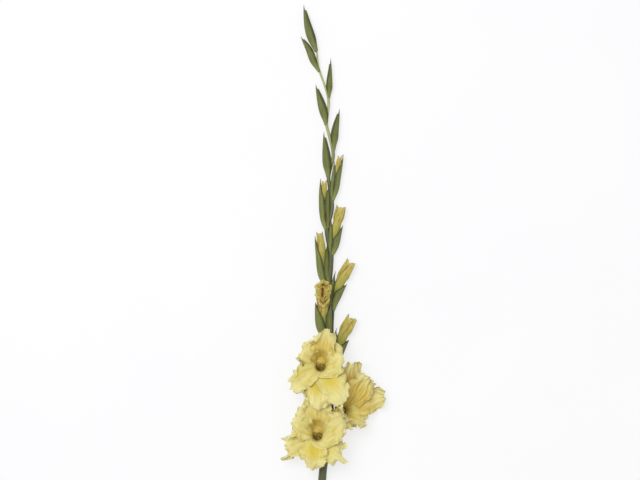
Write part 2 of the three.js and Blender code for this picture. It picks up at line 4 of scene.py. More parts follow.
import bpy
import numpy as np
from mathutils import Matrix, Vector


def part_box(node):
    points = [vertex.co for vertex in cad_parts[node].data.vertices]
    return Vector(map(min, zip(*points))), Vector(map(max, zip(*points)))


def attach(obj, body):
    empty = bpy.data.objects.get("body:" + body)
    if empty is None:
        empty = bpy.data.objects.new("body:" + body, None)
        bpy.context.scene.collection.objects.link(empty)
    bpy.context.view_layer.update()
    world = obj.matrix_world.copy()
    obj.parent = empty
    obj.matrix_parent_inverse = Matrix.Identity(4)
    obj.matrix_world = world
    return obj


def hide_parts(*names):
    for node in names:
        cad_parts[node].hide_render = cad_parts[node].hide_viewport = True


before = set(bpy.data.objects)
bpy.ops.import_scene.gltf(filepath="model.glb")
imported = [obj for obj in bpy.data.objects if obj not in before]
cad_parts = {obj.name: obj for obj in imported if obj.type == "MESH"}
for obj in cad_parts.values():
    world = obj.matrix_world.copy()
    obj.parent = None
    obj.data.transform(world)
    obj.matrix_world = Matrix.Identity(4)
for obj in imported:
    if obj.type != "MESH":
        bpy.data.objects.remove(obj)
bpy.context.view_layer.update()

# Sizes in millimetres, as in the part's own recipe.
GAP = 0.3
BRACT = 0.8
TUBE_WALL = 0.9
# The stem's middle line and radius, each as (place along the stem, value).
STEM = {
    "top": 268, "cut": -576, "straight_to": -336, "sides": 8,
    "x": [
        (-576, -9), (-470, -4), (-336, 3), (-300, 7), (-266, 13), (-221, 13), (-179, 15), (-147, 14.6),
        (-119, 15.2), (-99, 15.8), (-60, 13), (-40, 14.8), (-20, 15.3), (3, 10.9), (15, 9.8), (42, 16.5),
        (57, 16.1), (78, 13), (89, 11.9), (115, 18.3), (125, 18.2), (146, 13), (162, 9.2), (186, 11.9),
        (199, 11.6), (218, 6), (241, -1.7), (268, -4.8),
    ],
    "z": [(-576, 6), (-336, 5.9), (-180, 6.4), (0, 6.6), (140, 6.2), (268, 6)],
    "radius": [
        (-576, 6), (-336, 5.6), (-180, 4.5), (-28, 3.5), (49, 2.8), (119, 2.3), (189, 1.8), (268, 1.1),
    ],
}

# Side, node, low, mid, top, width and lift of each floret from the tip down. Open ones add where the outer
# and the inner bract end, where their edges part, where the bud fills out, and the inner bract's lean.
FLORETS = [
    (-1, 264, (-10, 280), (-16, 299), (-22.4, 330), 6.1, 1),
    (-1, 236, (-8, 250), (-15, 267.5), (-26.6, 285.6), 5.2, 1),
    (1, 198, (12.4, 211), (12.8, 224), (14.7, 255), 4.7, 1),
    (-1, 161, (7, 175), (2.4, 192), (-5.7, 218.4), 6.1, 1),
    (1, 124, (19.4, 140), (21, 156), (27, 184), 5.6, 1),
    (-1, 88, (11.2, 102), (9.6, 119), (5.9, 151.9), 6.5, 1),
    (1, 54, (20, 70), (22.4, 89), (27.6, 117), 6.4, 2, 1.06, 0.9, 0.64, 1.06, 0.6),
    (-1, 13, (7, 29), (5.8, 54), (5.8, 82), 6.9, 2, 1.06, 0.96, 0.62, 1.06, 0.4),
    (1, -22, (18.4, -8), (22, 15), (29.4, 46), 8.4, 2, 0.7, 0.84, 0.42, 0.72, 2.8),
    (-1, -66, (5.4, -50), (2.8, -19), (-0.4, 9.5), 8.2, 2, 0.96, 0.8, 0.42, 0.96, 0),
    (1, -101, (19.5, -82), (28.2, -59), (43.8, -31), 9.1, 2, 0.62, 0.76, 0.42, 0.62, 5),
    (-1, -142, (7, -126), (4.6, -105), (4.6, -67), 10.8, 17, 0.8, 0.78, 0.54, 1.2, 0),
    (1, -181, (21.4, -163), (31.2, -136), (45, -109), 9.6, 3, 0.6, 0.72, 0.42, 0.64, 4),
    (-1, -222, (5, -208), (-3, -188), (-10, -166), 9, 1, 1, 0.9, 0.3, 1, 0),
    (1, -267, (19, -252), (23, -232), (28, -208), 8.5, 1, 1, 0.9, 0.3, 1, 0),
    (-1, -309, (0, -296), (-8, -277), (-15, -254), 9, 1, 1, 0.9, 0.3, 1, 0),
]
FLORET_KEYS = (
    "side", "node", "low", "mid", "top", "width", "lift", "outer", "inner", "open", "free", "spread",
)
FLORETS = [dict(zip(FLORET_KEYS, row)) for row in FLORETS]
# The floret whose bud is opening.
OPENING = 12
# Half width along the bracts of a shut floret and of an open one, as a share of the floret's width.
CLOSED_WIDTH = [
    (0, 0.42), (0.12, 0.62), (0.3, 0.95), (0.44, 1), (0.62, 0.88), (0.8, 0.58), (0.93, 0.28), (1, 0.06),
]
OPEN_WIDTH = [(0, 0.4), (0.12, 0.62), (0.3, 0.9), (0.5, 1), (0.75, 0.96), (0.9, 0.86), (1.05, 0.68)]
# How deep a floret is for its width, how far its keel stands out, and over which angle.
DEPTH_SHARE = 0.8
KEEL = 0.1
KEEL_SPREAD = 0.4

# Throat, facing, azimuth 0 and tube of each bloom, the reach of its margin in each direction, and its
# petals: azimuth, reach, half width, height at the middle and the tip, layer, breadth of the end, start of
# the ruffles, how lemon and how ochre it is, and its longer points as place, side, length and breadth.
PETAL_KEYS = (
    "azimuth", "reach", "half", "middle", "tip", "front", "end", "phase", "lemon", "ochre", "points",
)
BLOOMS = {
    14: {
        "throat": (0.5, -176, 31), "facing": (-0.1, 0.06, 1), "zero": (1, 0, 0),
        "tube": [(12, -217, 8), (9, -205, 11), (4, -190, 17)],
        "margin": [
            (7, 33), (20, 36), (35, 42), (46, 43), (66, 53), (77, 57), (88, 49), (103, 43), (128, 39),
            (138, 36), (163, 36), (175, 32), (200, 37), (205, 49), (210, 45), (216, 56), (221, 49), (227, 52),
            (232, 41), (240, 38), (246, 50), (257, 54), (268, 61), (282, 57), (303, 64), (320, 54), (342, 43),
            (353, 34),
        ],
        "petals": [
            (19, 38, 22, 10, 6, 0.3, 0.8, 0.3, 0, 0.1, [(0.25, -1, 16, 0.22)]),
            (80, 54, 22, 10, 16, 1.8, 0.8, 1.1, 0, 0.65, []),
            (138, 39, 23, 9, 7, -1, 0.8, 2.0, 0, 0.3, []),
            (212, 53, 19, 10, 8, 1, 0.75, 0.7, 0.25, 0, []),
            (264, 59, 24, 10, 12, -1, 0.85, 1.6, 1, 0, []),
            (309, 58, 24, 10, 9, -0.3, 0.7, 2.6, 0.9, 0, []),
        ],
    },
    15: {
        "throat": (33, -238, 22), "facing": (0.6, 0.2, 0.77), "zero": (-0.32, 0.93, 0),
        "tube": [(15, -263, 9), (17, -254, 11), (23, -245, 14)],
        "margin": [],
        # On this bloom the ochre is partly the petals' own streaks and partly painted shade on faces turned
        # from the light.
        "petals": [
            (341, 63, 17, 20, 29, -1, 0.5, 0.5, 0, 0.9, [(0.6, -1, 9, 0.3)]),
            (311, 51, 19, 22, 32, 1, 0.6, 1.4, 0, 0.9, [(0.6, 1, 5, 0.3)]),
            (270, 53, 18, 22, 32, -1, 0.3, 2.2, 0, 0.6, []),
            (222, 34, 18, 12, 12, 1, 0.6, 0.9, 0.9, 0.3, []),
            (176, 28, 17, 10, 8, -1, 0.5, 1.9, 0.5, 0.6, []),
            (100, 26, 13, 17, 23, 1, 0.6, 2.8, 0, 0.6, []),
        ],
    },
    16: {
        "throat": (-4, -273, 25), "facing": (-0.12, 0.02, 1), "zero": (1, 0, 0),
        "tube": [(7, -305, 8), (4, -297, 10), (0, -285, 14)],
        "margin": [
            (17, 44), (30, 50), (44, 54), (56, 53), (67, 51), (85, 52), (92, 54), (106, 56), (122, 45),
            (140, 43), (169, 35), (180, 42), (184, 53), (193, 45), (210, 52), (212, 64), (225, 54), (240, 39),
            (250, 42), (265, 51), (273, 45), (291, 43), (297, 51), (310, 47), (314, 56), (321, 57), (325, 45),
            (334, 43), (342, 49), (356, 40),
        ],
        "petals": [
            (25, 47, 24, 9, 6, 0.6, 0.8, 1.2, 0, 0.1, [(0.25, -1, 18, 0.22)]),
            (88, 53, 25, 7, 5, 1.2, 0.8, 0.2, 0, 0.5, []),
            (142, 43, 22, 8, 6, 0.3, 0.8, 2.4, 0, 0.3, []),
            (200, 55, 20, 8, 4, -1, 0.9, 1.7, 0.2, 0, []),
            (262, 49, 22, 9, 6, 0.4, 0.7, 0.6, 1, 0, []),
            (320, 52, 25, 7, 3, -1, 0.8, 2.9, 0.5, 0, []),
        ],
    },
}
# The throat's radius, the step between layers of petals, the height and number of the margin's large waves,
# and how frayed the margin is, as a share of the half width.
THROAT = 8.2
LAYER = 1.3
RUFFLE = 3.4
RUFFLE_WAVES = 2.4
FRAY = 0.05
# How sharply a crease turns, and the arcsine of that, which brings its height to 1.
CREASE = 0.96
CREASE_TOP = 1.287
# How slim a side petal is beside the hood, and how far the hood is hollowed aside and back.
SLIM = 0.52
HOOD_ASIDE = 6
HOOD_BACK = 4
# A tube's radius along it, where its rim and the floor of its hollow are, and how thick its skin is.
TUBE_RADIUS = [(0, 2.4), (0.2, 3.6), (0.5, 4.4), (0.72, 5.4), (0.86, 6.8), (1, THROAT + 0.4)]
TUBE_RIM = 0.88
TUBE_FLOOR = 0.42
TUBE_SKIN = 0.6
# Tips of the anthers, the style's fork and tips of its branches: aside, over and ahead of the throat.
ANTHERS = ((-3.2, 3.4, 5), (-0.6, 5.2, 7), (2.4, 3, 5.5))
STYLE_FORK = (-0.8, 5.4, 3.5)
STYLE_BRANCHES = ((-3.6, 7.4, 7), (-0.8, 8.6, 8), (1.8, 7, 7))
# The rings down into a bud: share of its radius, how far they sink, and how dark they are, as painted shade.
BUD_MOUTH = ((0.9, 0.7, 0.15), (0.72, 2.2, 0.5), (0.5, 4.2, 0.8), (0.25, 6.5, 1), (0.06, 8, 1))
# The margins that lie open on the opening bud: size, rise, shift along the bud, and seed of the ruffles.
OPEN_MARGINS = ((1, 1.2, 0, 0.6), (0.74, 3, 0.03, 2.1), (0.46, 4.2, 0.01, 4.6))
# The loose petals round it: turn from the side, where they end, and share of the bud's radius.
LOOSE_PETALS = ((0.3, 1.04, 1), (2.8, 1.06, 1), (3.9, 1.03, 1), (5.3, 1.05, 1), (4.4, 1.02, 0.6))
# Where they start, as a share of the bud's length.
LOOSE_FROM = 0.72
# How far the stem swells at a floret, over which length, and how it narrows in the last stretch.
NODE_SWELL = 0.08
NODE_REACH = 7
TIP_TAPER = 0.25
TIP_STRETCH = 12
# How far the bracts here lie inside the solids' faces, and how high their veins stand.
SKIN_INSET = 0.04
VEIN = 0.06
# An inner bract that leans less than this clasps its bud. It is so much wider than its solid, to meet the
# stem.
CLASP_SPREAD = 0.5
CLASP_FILL = 1.3

# How fine the pieces are, as rows and columns, and how thick the thin ones are.
PETAL_GRID = (64, 44)
BRACT_GRID = (34, 26)
CORE_GRID = (30, 30)
BUD_GRID = (56, 72)
LOOSE_GRID = (36, 34)
OPEN_GRID = (18, 110)
TUBE_RINGS = (26, 20)
TUBE_SIDES = 36
STEM_SIDES = 28
STEM_STEP = 3.5
PETAL_THICK = 0.5
BRACT_THICK = 0.7
# The steps between the rings of the stem's own solid, on its straight part and on its zigzag.
SOLID_STRAIGHT_STEP = 60
SOLID_ZIGZAG_STEP = 17


# Curves and surfaces
def along(knots, t):
    """A smooth value at t through knots of (t, value)."""
    x, y = np.array(knots, float).T
    t = np.asarray(t, float)
    last = len(x) - 1
    slope = np.array([
        (y[min(i + 1, last)] - y[max(i - 1, 0)]) / (x[min(i + 1, last)] - x[max(i - 1, 0)])
        for i in range(last + 1)
    ])
    k = np.searchsorted(x[1:last], t, side="left")
    span = x[k + 1] - x[k]
    u = (t - x[k]) / span
    leaving = slope[k] * span * u * (1 - u) ** 2
    arriving = slope[k + 1] * span * u * u * (u - 1)
    return y[k] + (y[k + 1] - y[k]) * u * u * (3 - 2 * u) + leaving + arriving


def smoothstep(x, low, high):
    u = np.clip((np.asarray(x, float) - low) / (high - low), 0, 1)
    return u * u * (3 - 2 * u)


def unit(v):
    return v / np.linalg.norm(v, axis=-1, keepdims=True)


class Route:
    """A curve through points at given values of t."""

    def __init__(self, times, points):
        self.axes = [list(zip(times, values)) for values in zip(*points)]

    def point(self, t):
        return np.stack([along(knots, t) for knots in self.axes], axis=-1)

    def direction(self, t):
        t = np.asarray(t, float)
        return unit(self.point(t + 0.001) - self.point(t - 0.001))


def stem_point(y):
    y = np.asarray(y, float)
    return np.stack([along(STEM["x"], y), y, along(STEM["z"], y)], axis=-1)


def square_to(direction, reference):
    """Two directions square to the given one and to each other."""
    dot = np.sum(direction * reference, axis=-1, keepdims=True)
    across = unit(reference - direction * dot)
    return across, np.cross(direction, across)


def round_angles(sides):
    return 2 * math.pi * np.arange(sides) / sides


def rings(centres, directions, reference, radius, sides):
    """Points round a line of centres: radius is one value a ring, or one for each point."""
    across, up = square_to(directions, np.asarray(reference, float))
    angle = round_angles(sides)
    radius = np.broadcast_to(np.atleast_2d(np.asarray(radius, float).T).T, (len(centres), sides))
    ring = across[:, None] * np.cos(angle)[:, None] + up[:, None] * np.sin(angle)[:, None]
    return centres[:, None] + ring * radius[..., None]


def floret_route(floret):
    base = stem_point(floret["node"])
    lift = floret["lift"]
    points = [
        tuple(base), (*floret["low"], base[2] + 0.4 * lift), (*floret["mid"], base[2] + 0.7 * lift),
        (*floret["top"], base[2] + lift),
    ]
    return Route((0, 0.27, 0.6, 1), points)


def outward(direction):
    """Flat and square to the direction, to its right."""
    flat = np.stack([direction[..., 1], -direction[..., 0], np.zeros(direction.shape[:-1])], axis=-1)
    return unit(flat)


def bract_point(floret, route, t, angle, inset):
    """The outside of a floret's bracts, at an angle from the keel that faces away from the stem."""
    profile = OPEN_WIDTH if "outer" in floret else CLOSED_WIDTH
    full = floret["width"] * along(profile, t)
    width = np.maximum(full - inset, 0.05)
    depth = np.maximum(full * DEPTH_SHARE - inset, 0.05)
    direction = route.direction(t)
    out = outward(direction) * floret["side"]
    face = np.cross(out, direction) * floret["side"]
    ridge = 1 + KEEL * np.exp(-((angle / KEEL_SPREAD) ** 2))
    sideways = out * (width * ridge * np.cos(angle))[..., None]
    p = route.point(t) + sideways + face * (depth * np.sin(angle))[..., None]
    p[..., 2] = np.maximum(p[..., 2], np.maximum(inset, 0.02))
    return p


def bud_point(route, t, angle, radius, ahead):
    direction = route.direction(t)
    out = outward(direction)
    face = np.cross(out, direction)
    p = route.point(t) + out * (radius * np.cos(angle))[..., None]
    p = p + face * (radius * DEPTH_SHARE * np.sin(angle))[..., None]
    p = p + direction * np.asarray(ahead)[..., None]
    p[..., 2] = np.maximum(p[..., 2], BRACT + GAP)
    return p


def bud_radius(floret, t):
    """The bud fills its bracts' room, and more where it comes out of them."""
    relief = smoothstep(t, floret["free"], floret["free"] + 0.12)
    room = 1.4 * BRACT + GAP + 0.09 * floret["width"]
    return floret["width"] * along(OPEN_WIDTH, t) - room * (1 - relief)


# Meshes
class Parts:
    """Points, faces and shading values that become one mesh."""

    def __init__(self):
        self.points, self.quads, self.tris, self.grain, self.tint = [], [], [], [], []
        self.count = 0

    def add(self, points, grain, tint, quads, tris=()):
        """Adds one closed body. Its faces are turned outward."""
        points = np.asarray(points, float).reshape(-1, 3)
        quads, tris = np.asarray(quads, int).reshape(-1, 4), np.asarray(tris, int).reshape(-1, 3)
        fans = np.concatenate([quads[:, [0, 1, 2]], quads[:, [0, 2, 3]], tris])
        a, b, c = (points[fans[:, i]] for i in range(3))
        if np.sum(a * np.cross(b, c)) < 0:
            quads, tris = quads[:, ::-1], tris[:, ::-1]
        self.points.append(points)
        self.quads.append(quads + self.count)
        self.tris.append(tris + self.count)
        self.grain.append(np.asarray(grain, float).reshape(-1, 3))
        self.tint.append(np.asarray(tint, float).reshape(-1, 3))
        self.count += len(points)

    def tube(self, grid, grain, tint):
        """A skin over rings, closed at both ends."""
        rows, sides = grid.shape[:2]
        at = np.arange(rows * sides).reshape(rows, sides)
        turned = np.roll(at, -1, axis=1)
        quads = np.stack([at[:-1], turned[:-1], turned[1:], at[1:]], axis=-1)
        ends = [rows * sides, rows * sides + 1]
        first = [(ends[0], turned[0, k], at[0, k]) for k in range(sides)]
        last = [(ends[1], at[-1, k], turned[-1, k]) for k in range(sides)]

        def capped(values):
            values = np.broadcast_to(values, (rows, sides, 3))
            middles = [values[0].mean(axis=0), values[-1].mean(axis=0)]
            return np.concatenate([values.reshape(-1, 3), middles])

        self.add(capped(grid), capped(grain), capped(tint), quads, first + last)

    def sheet(self, front, back, grain, tint):
        """A thin body between a front and a back grid."""
        rows, columns = front.shape[:2]
        at = np.arange(rows * columns).reshape(rows, columns)
        low = at + rows * columns
        quads = [
            np.stack([at[:-1, :-1], at[:-1, 1:], at[1:, 1:], at[1:, :-1]], axis=-1).reshape(-1, 4),
            np.stack([low[:-1, :-1], low[1:, :-1], low[1:, 1:], low[:-1, 1:]], axis=-1).reshape(-1, 4),
        ]
        loop = np.concatenate([at[0, :-1], at[:-1, -1], at[-1, :0:-1], at[:0:-1, 0]])
        ahead = np.roll(loop, -1)
        quads.append(np.stack([ahead, loop, loop + rows * columns, ahead + rows * columns], axis=-1))
        double = [np.broadcast_to(v, (rows, columns, 3)).reshape(-1, 3) for v in (grain, tint)]
        points = np.concatenate([front.reshape(-1, 3), back.reshape(-1, 3)])
        self.add(points, np.tile(double[0], (2, 1)), np.tile(double[1], (2, 1)), np.concatenate(quads))

    def finish(self, name, nodes, material):
        """The mesh as one piece that stands for the given nodes."""
        points = (np.concatenate(self.points) + SHIFT) / 1000
        quads, tris = np.concatenate(self.quads), np.concatenate(self.tris)
        mesh = bpy.data.meshes.new(name)
        mesh.vertices.add(len(points))
        mesh.vertices.foreach_set("co", points.ravel())
        mesh.loops.add(quads.size + tris.size)
        mesh.loops.foreach_set("vertex_index", np.concatenate([quads.ravel(), tris.ravel()]))
        mesh.polygons.add(len(quads) + len(tris))
        sizes = np.concatenate([np.full(len(quads), 4), np.full(len(tris), 3)])
        mesh.polygons.foreach_set("loop_start", np.concatenate([[0], np.cumsum(sizes)[:-1]]))
        mesh.polygons.foreach_set("use_smooth", np.ones(len(sizes), bool))
        mesh.update(calc_edges=True)
        mesh.validate()
        for label, values in (("grain", self.grain), ("tint", self.tint)):
            layer = mesh.attributes.new(label, "FLOAT_VECTOR", "POINT")
            layer.data.foreach_set("vector", np.concatenate(values).ravel())
        mesh.materials.append(material)
        piece = bpy.data.objects.new(name, mesh)
        bpy.context.scene.collection.objects.link(piece)
        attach(piece, "root")
        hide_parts(*nodes)


def vector(*values):
    """Arrays side by side as one array of three values a point."""
    return np.stack(np.broadcast_arrays(*values), axis=-1)


def normals(grid):
    return unit(np.cross(np.gradient(grid, axis=0), np.gradient(grid, axis=1)))


def thickened(grid, thickness, floor=0.0):
    """Front and back of a sheet over a surface, never below the floor."""
    normal = normals(grid)
    half = (np.broadcast_to(thickness, grid.shape[:2]) / 2)[..., None]
    front, back = grid + normal * half, grid - normal * half
    upper = normal[..., 2] > 0
    lift = 2 * half[..., 0]
    front[..., 2] = np.maximum(front[..., 2], np.where(upper, floor + lift, floor))
    back[..., 2] = np.maximum(back[..., 2], np.where(upper, floor, floor + lift))
    return front, back


def stem_low_corner():
    """The low corner of the stem's own solid, in the recipe's own place."""
    stations = list(range(STEM["cut"], STEM["straight_to"], SOLID_STRAIGHT_STEP))
    count = round((STEM["top"] - STEM["straight_to"]) / SOLID_ZIGZAG_STEP)
    stations += list(np.linspace(STEM["straight_to"], STEM["top"], count + 1))
    y = np.array(stations, float)
    directions = unit(stem_point(y + 1) - stem_point(y - 1))
    grid = rings(stem_point(y), directions, (1, 0, 0), along(STEM["radius"], y), STEM["sides"])
    return grid.reshape(-1, 3).min(axis=0)


# From the recipe's own place to the shared frame, in millimetres.
SHIFT = np.array(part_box("stem")[0]) * 1000 - stem_low_corner()


# Stem
def stem_piece(material):
    """The zigzag stem with soft ribs and a swelling at each floret."""
    y = np.arange(STEM["cut"], STEM["top"] + 0.1, STEM_STEP)
    directions = unit(stem_point(y + 1) - stem_point(y - 1))
    angle = round_angles(STEM_SIDES)
    swell = sum(np.exp(-(((y - floret["node"]) / NODE_REACH) ** 2)) for floret in FLORETS)
    taper = 1 - TIP_TAPER * smoothstep(y, STEM["top"] - TIP_STRETCH, STEM["top"])
    base = along(STEM["radius"], y) * (1 + NODE_SWELL * swell) * taper
    ribs = 1 + 0.012 * np.cos(7 * angle[None] + y[:, None] * 0.004)
    ribs = ribs + 0.01 * np.sin(3 * angle[None] + y[:, None] / 60)
    grid = rings(stem_point(y), directions, (1, 0, 0), base[:, None] * ribs, STEM_SIDES)
    grid[..., 2] = np.maximum(grid[..., 2], 0)
    parts = Parts()
    young, joints = smoothstep(y, 60, 170)[:, None], np.clip(swell, 0, 1)[:, None]
    grain = vector(y[:, None] / 100, np.cos(angle)[None], np.sin(angle)[None])
    parts.tube(grid, grain, vector(young, joints, 0))
    cut_face(parts, grid[0])
    parts.finish("stem_skin", ["stem"], material)


def cut_face(parts, rim):
    """The cut end: a pale pith with a ring of fibres, set in the rim."""
    centre = rim.mean(axis=0)
    shares = np.array([0.97, 0.86, 0.6, 0.3, 0.04])
    dish = np.array([0.05, -0.12, -0.2, -0.12, -0.1])
    grid = centre + (rim - centre)[None] * shares[:, None, None]
    grid[..., 1] -= dish[:, None] + 0.05
    low = grid.copy()
    low[..., 1] += 0.6
    shell = np.concatenate([grid[::-1], low])
    pith = np.concatenate([shares[::-1], shares])
    parts.tube(shell, vector(pith[:, None], 0, 0), vector(0, 0, 1))


# Bracts
def bract_sheet(parts, floret, route, shape, seed):
    """A boat-shaped bract with fine veins, thin edges and a withered tip."""
    rows, columns = BRACT_GRID
    u = np.linspace(0, 1, rows)
    t = shape["to"] + (shape["from"] - shape["to"]) * (1 - u) ** 1.5
    v = np.linspace(-1, 1, columns)
    high, low = along(shape["front"], t), along(shape["back"], t)
    wave = 0.05 * np.sin(11 * t + seed) + 0.03 * np.sin(23 * t + 2 * seed)
    angle = np.where(v[None] > 0, v[None] * (high + wave)[:, None], v[None] * (low + wave)[:, None])
    level = np.broadcast_to(t[:, None], angle.shape)
    veins = VEIN * np.cos(angle * 11) * (1 - np.abs(v[None]) ** 4)
    thick = BRACT_THICK * (1 - 0.55 * np.abs(v[None]) ** 5) * (1 - 0.5 * smoothstep(u, 0.9, 1)[:, None])
    turned = math.pi - angle if shape["turned"] else angle
    front = bract_point(floret, route, level, turned, shape["inset"] - veins + SKIN_INSET)
    back = bract_point(floret, route, level, turned, shape["inset"] + thick + SKIN_INSET)
    lean = floret["side"] * shape["lean"] * ((t - shape["from"]) / (shape["to"] - shape["from"])) ** 2
    for grid in (front, back):
        grid[..., 0] -= lean[:, None]
    keel = 0.55 * np.exp(-((angle / 0.3) ** 2))
    edge = np.maximum(smoothstep(np.abs(v[None]), 0.66, 1), keel) * smoothstep(t, 0.05, 0.3)[:, None]
    edge = np.clip(edge + shape["shade"], 0, 1)
    tip = smoothstep(u, 0.9, 1)[:, None]
    base = 1 - smoothstep(t, 0.02, 0.4)[:, None]
    parts.sheet(front, back, vector(level * 3, angle * 2, seed), vector(base, edge, tip))


def closed_bracts(number, floret, material):
    """The bracts of a shut floret: an outer one clasped round a filled inner one."""
    route = floret_route(floret)
    parts = Parts()
    edge = [(0, 1.7), (0.2, 2.4), (0.7, 2.2), (0.9, 1.6), (1, 1)]
    bract_sheet(parts, floret, route, {
        "from": 0, "to": 1, "turned": False, "inset": 0, "lean": 0, "shade": 0.24,
        "front": edge, "back": edge,
    }, number)
    rows, sides = CORE_GRID
    t = np.linspace(0.02, 0.9, rows)
    angle = np.broadcast_to(round_angles(sides), (rows, sides))
    level = np.broadcast_to(t[:, None], angle.shape)
    grid = bract_point(floret, route, level, angle, BRACT / 2 + SKIN_INSET - 0.05 * np.cos(9 * angle))
    pale = 1 - smoothstep(t, 0, 0.4)[:, None]
    parts.tube(grid, vector(level * 3, np.cos(angle) * 4, number + 0.5), vector(pale, 0.3, 0))
    name = f"bracts_{number:02d}"
    parts.finish(f"{name}_skin", [name], material)


def open_bracts(number, floret, material):
    """An outer and an inner bract, whose edges part where the bud comes out."""
    route = floret_route(floret)
    outer, inner, opened, spread = (floret[key] for key in ("outer", "inner", "open", "spread"))
    parts = Parts()
    half = (opened + outer) / 2
    bract_sheet(parts, floret, route, {
        "from": 0, "to": outer, "turned": False, "inset": 0, "lean": 0, "shade": -0.06,
        "front": [(0, 1.5), (0.2, 1.75), (opened, 1.65), (half, 0.95), (outer, 0.05)],
        "back": [(0, 1.6), (0.15, 2), (opened, 1.95), (half, 1.2), (outer, 0.05)],
    }, number)
    half = (opened + inner) / 2
    fill = CLASP_FILL if spread < CLASP_SPREAD else 0
    bract_sheet(parts, floret, route, {
        "from": 0.05, "to": inner, "turned": True, "inset": BRACT * 0.4 - fill, "lean": spread,
        "shade": -0.06,
        "front": [(0, 1.2), (0.2, 1.36), (opened, 1.36), (half, 1), (inner, 0.05)],
        "back": [(0, 1.4), (0.15, 1.6), (opened, 1.5), (half, 1.1), (inner, 0.05)],
    }, number + 0.4)
    name = f"bracts_{number:02d}"
    parts.finish(f"{name}_skin", [name], material)


# Buds
def bud_piece(number, floret, material):
    """Rolled petals: overlapping seams that wind up the bud, crinkled and blunt on top with ragged tips."""
    route = floret_route(floret)
    rows, sides = BUD_GRID
    angle = np.broadcast_to(round_angles(sides), (rows, sides))
    level = np.broadcast_to(np.linspace(0.16, 1, rows)[:, None], angle.shape)
    pleat = 1 - 0.035 * (1 + np.cos(angle * 4 + 2 * level))
    turn = (3 * angle / (2 * math.pi) + 0.8 * level + 0.13 * number) % 1
    seam = smoothstep(turn, 0, 0.86) - smoothstep(turn, 0.9, 1)
    crinkle = 0.16 * np.sin(19 * angle + 6 * level + 2 * np.sin(9 * level)) * smoothstep(level, 0.3, 0.7)
    free = smoothstep(level, floret["free"] - 0.1, 1)
    radius = bud_radius(floret, level) * pleat + (0.9 * seam - 0.5) * (0.4 + 0.6 * free) + crinkle
    radius = radius + 0.5 * smoothstep(level, 0.93, 1) * np.sin(5 * angle + number)
    ragged = 1.5 * np.cos(2 * angle) + 1.2 * np.cos(3 * angle + floret["width"])
    ragged = ragged + 0.5 * np.sin(7 * angle + number)
    grid = bud_point(route, level, angle, radius, smoothstep(level, 0.86, 1) * ragged)
    mouth = [
        bud_point(route, level[-1:], angle[-1:], radius[-1:] * share, ragged[-1:] * share - sink)
        for share, sink, dark in BUD_MOUTH
    ]
    fold = 1 - smoothstep(turn, 0, 0.16) + 0.5 * smoothstep(turn, 0.9, 1)
    parts = Parts()
    parts.tube(np.concatenate([grid, *mouth]), *bud_shading(level, angle, fold * (0.35 + 0.65 * free)))
    if number == OPENING:
        opening_petals(parts, floret, route)
    name = f"bud_{number:02d}"
    parts.finish(f"{name}_skin", [name], material)


def bud_shading(level, angle, folds):
    """Grain and tint of a bud: green below, brown in the folds, painted shade down the mouth, pale at the
    rim.
    """
    inside = np.ones((len(BUD_MOUTH), level.shape[1]))
    # Painted shade: darker the deeper the ring sinks into the mouth.
    deep_shade = np.array([dark for share, sink, dark in BUD_MOUTH])[:, None] * inside
    steps = (1 + 0.02 * np.arange(1, len(BUD_MOUTH) + 1)[:, None]) * inside
    heights = np.concatenate([level, steps])
    green = np.concatenate([1 - smoothstep(level, 0.4, 0.9), 0 * inside])
    rim = np.concatenate([smoothstep(level, 0.94, 1), 0.4 * inside])
    grain = vector(heights * 3, np.cos(angle[:1]) * 3, np.sin(angle[:1]) * 3)
    return grain, vector(green, np.concatenate([folds, deep_shade]), rim)


def opening_petals(parts, floret, route):
    """Frilled petals that loosen round the opening bud, and the margins that lie open on its front."""
    rows, columns = LOOSE_GRID
    s, v = np.meshgrid(np.linspace(0, 1, rows), np.linspace(-1, 1, columns), indexing="ij")
    for size, rise, shift, seed in OPEN_MARGINS:
        open_margin(parts, floret, route, size, rise, shift, seed)
    for index, (turn, end, share) in enumerate(LOOSE_PETALS):
        t = LOOSE_FROM + (end - LOOSE_FROM) * s - 0.07 * v * v * s
        clear = 0.7 * (2 * smoothstep(s, 0, 0.25) - 1)
        frill = 3 + 1.3 * np.sin(4.5 * v + 9 * s + turn * 3)
        fine = 1.1 * np.sin(11 * v + turn * 5) + 0.6 * np.sin(19 * v + 8 * s + turn)
        radius = bud_radius(floret, np.minimum(t, 0.95)) + clear + smoothstep(t, 0.74, 1.02) * frill
        radius = (radius + smoothstep(s, 0.45, 1) * fine) * share
        ahead = 1.6 * smoothstep(s, 0.8, 1) * np.sin(9 * v + 4 * turn) - 3 * (1 - share)
        surface = bud_point(route, t, turn + (0.74 + 0.3 * (1 - share)) * v, radius, ahead)
        front, back = thickened(surface, PETAL_THICK)
        edge = np.maximum(smoothstep(s, 0.75, 1), smoothstep(np.abs(v), 0.7, 1) * s)
        shade = np.clip((1 - smoothstep(s, 0.2, 0.8)) * 0.6 + (1 - share), 0, 1)
        parts.sheet(front, back, vector(s * 2, v * 2, index + 3.0), vector(0, shade, edge))


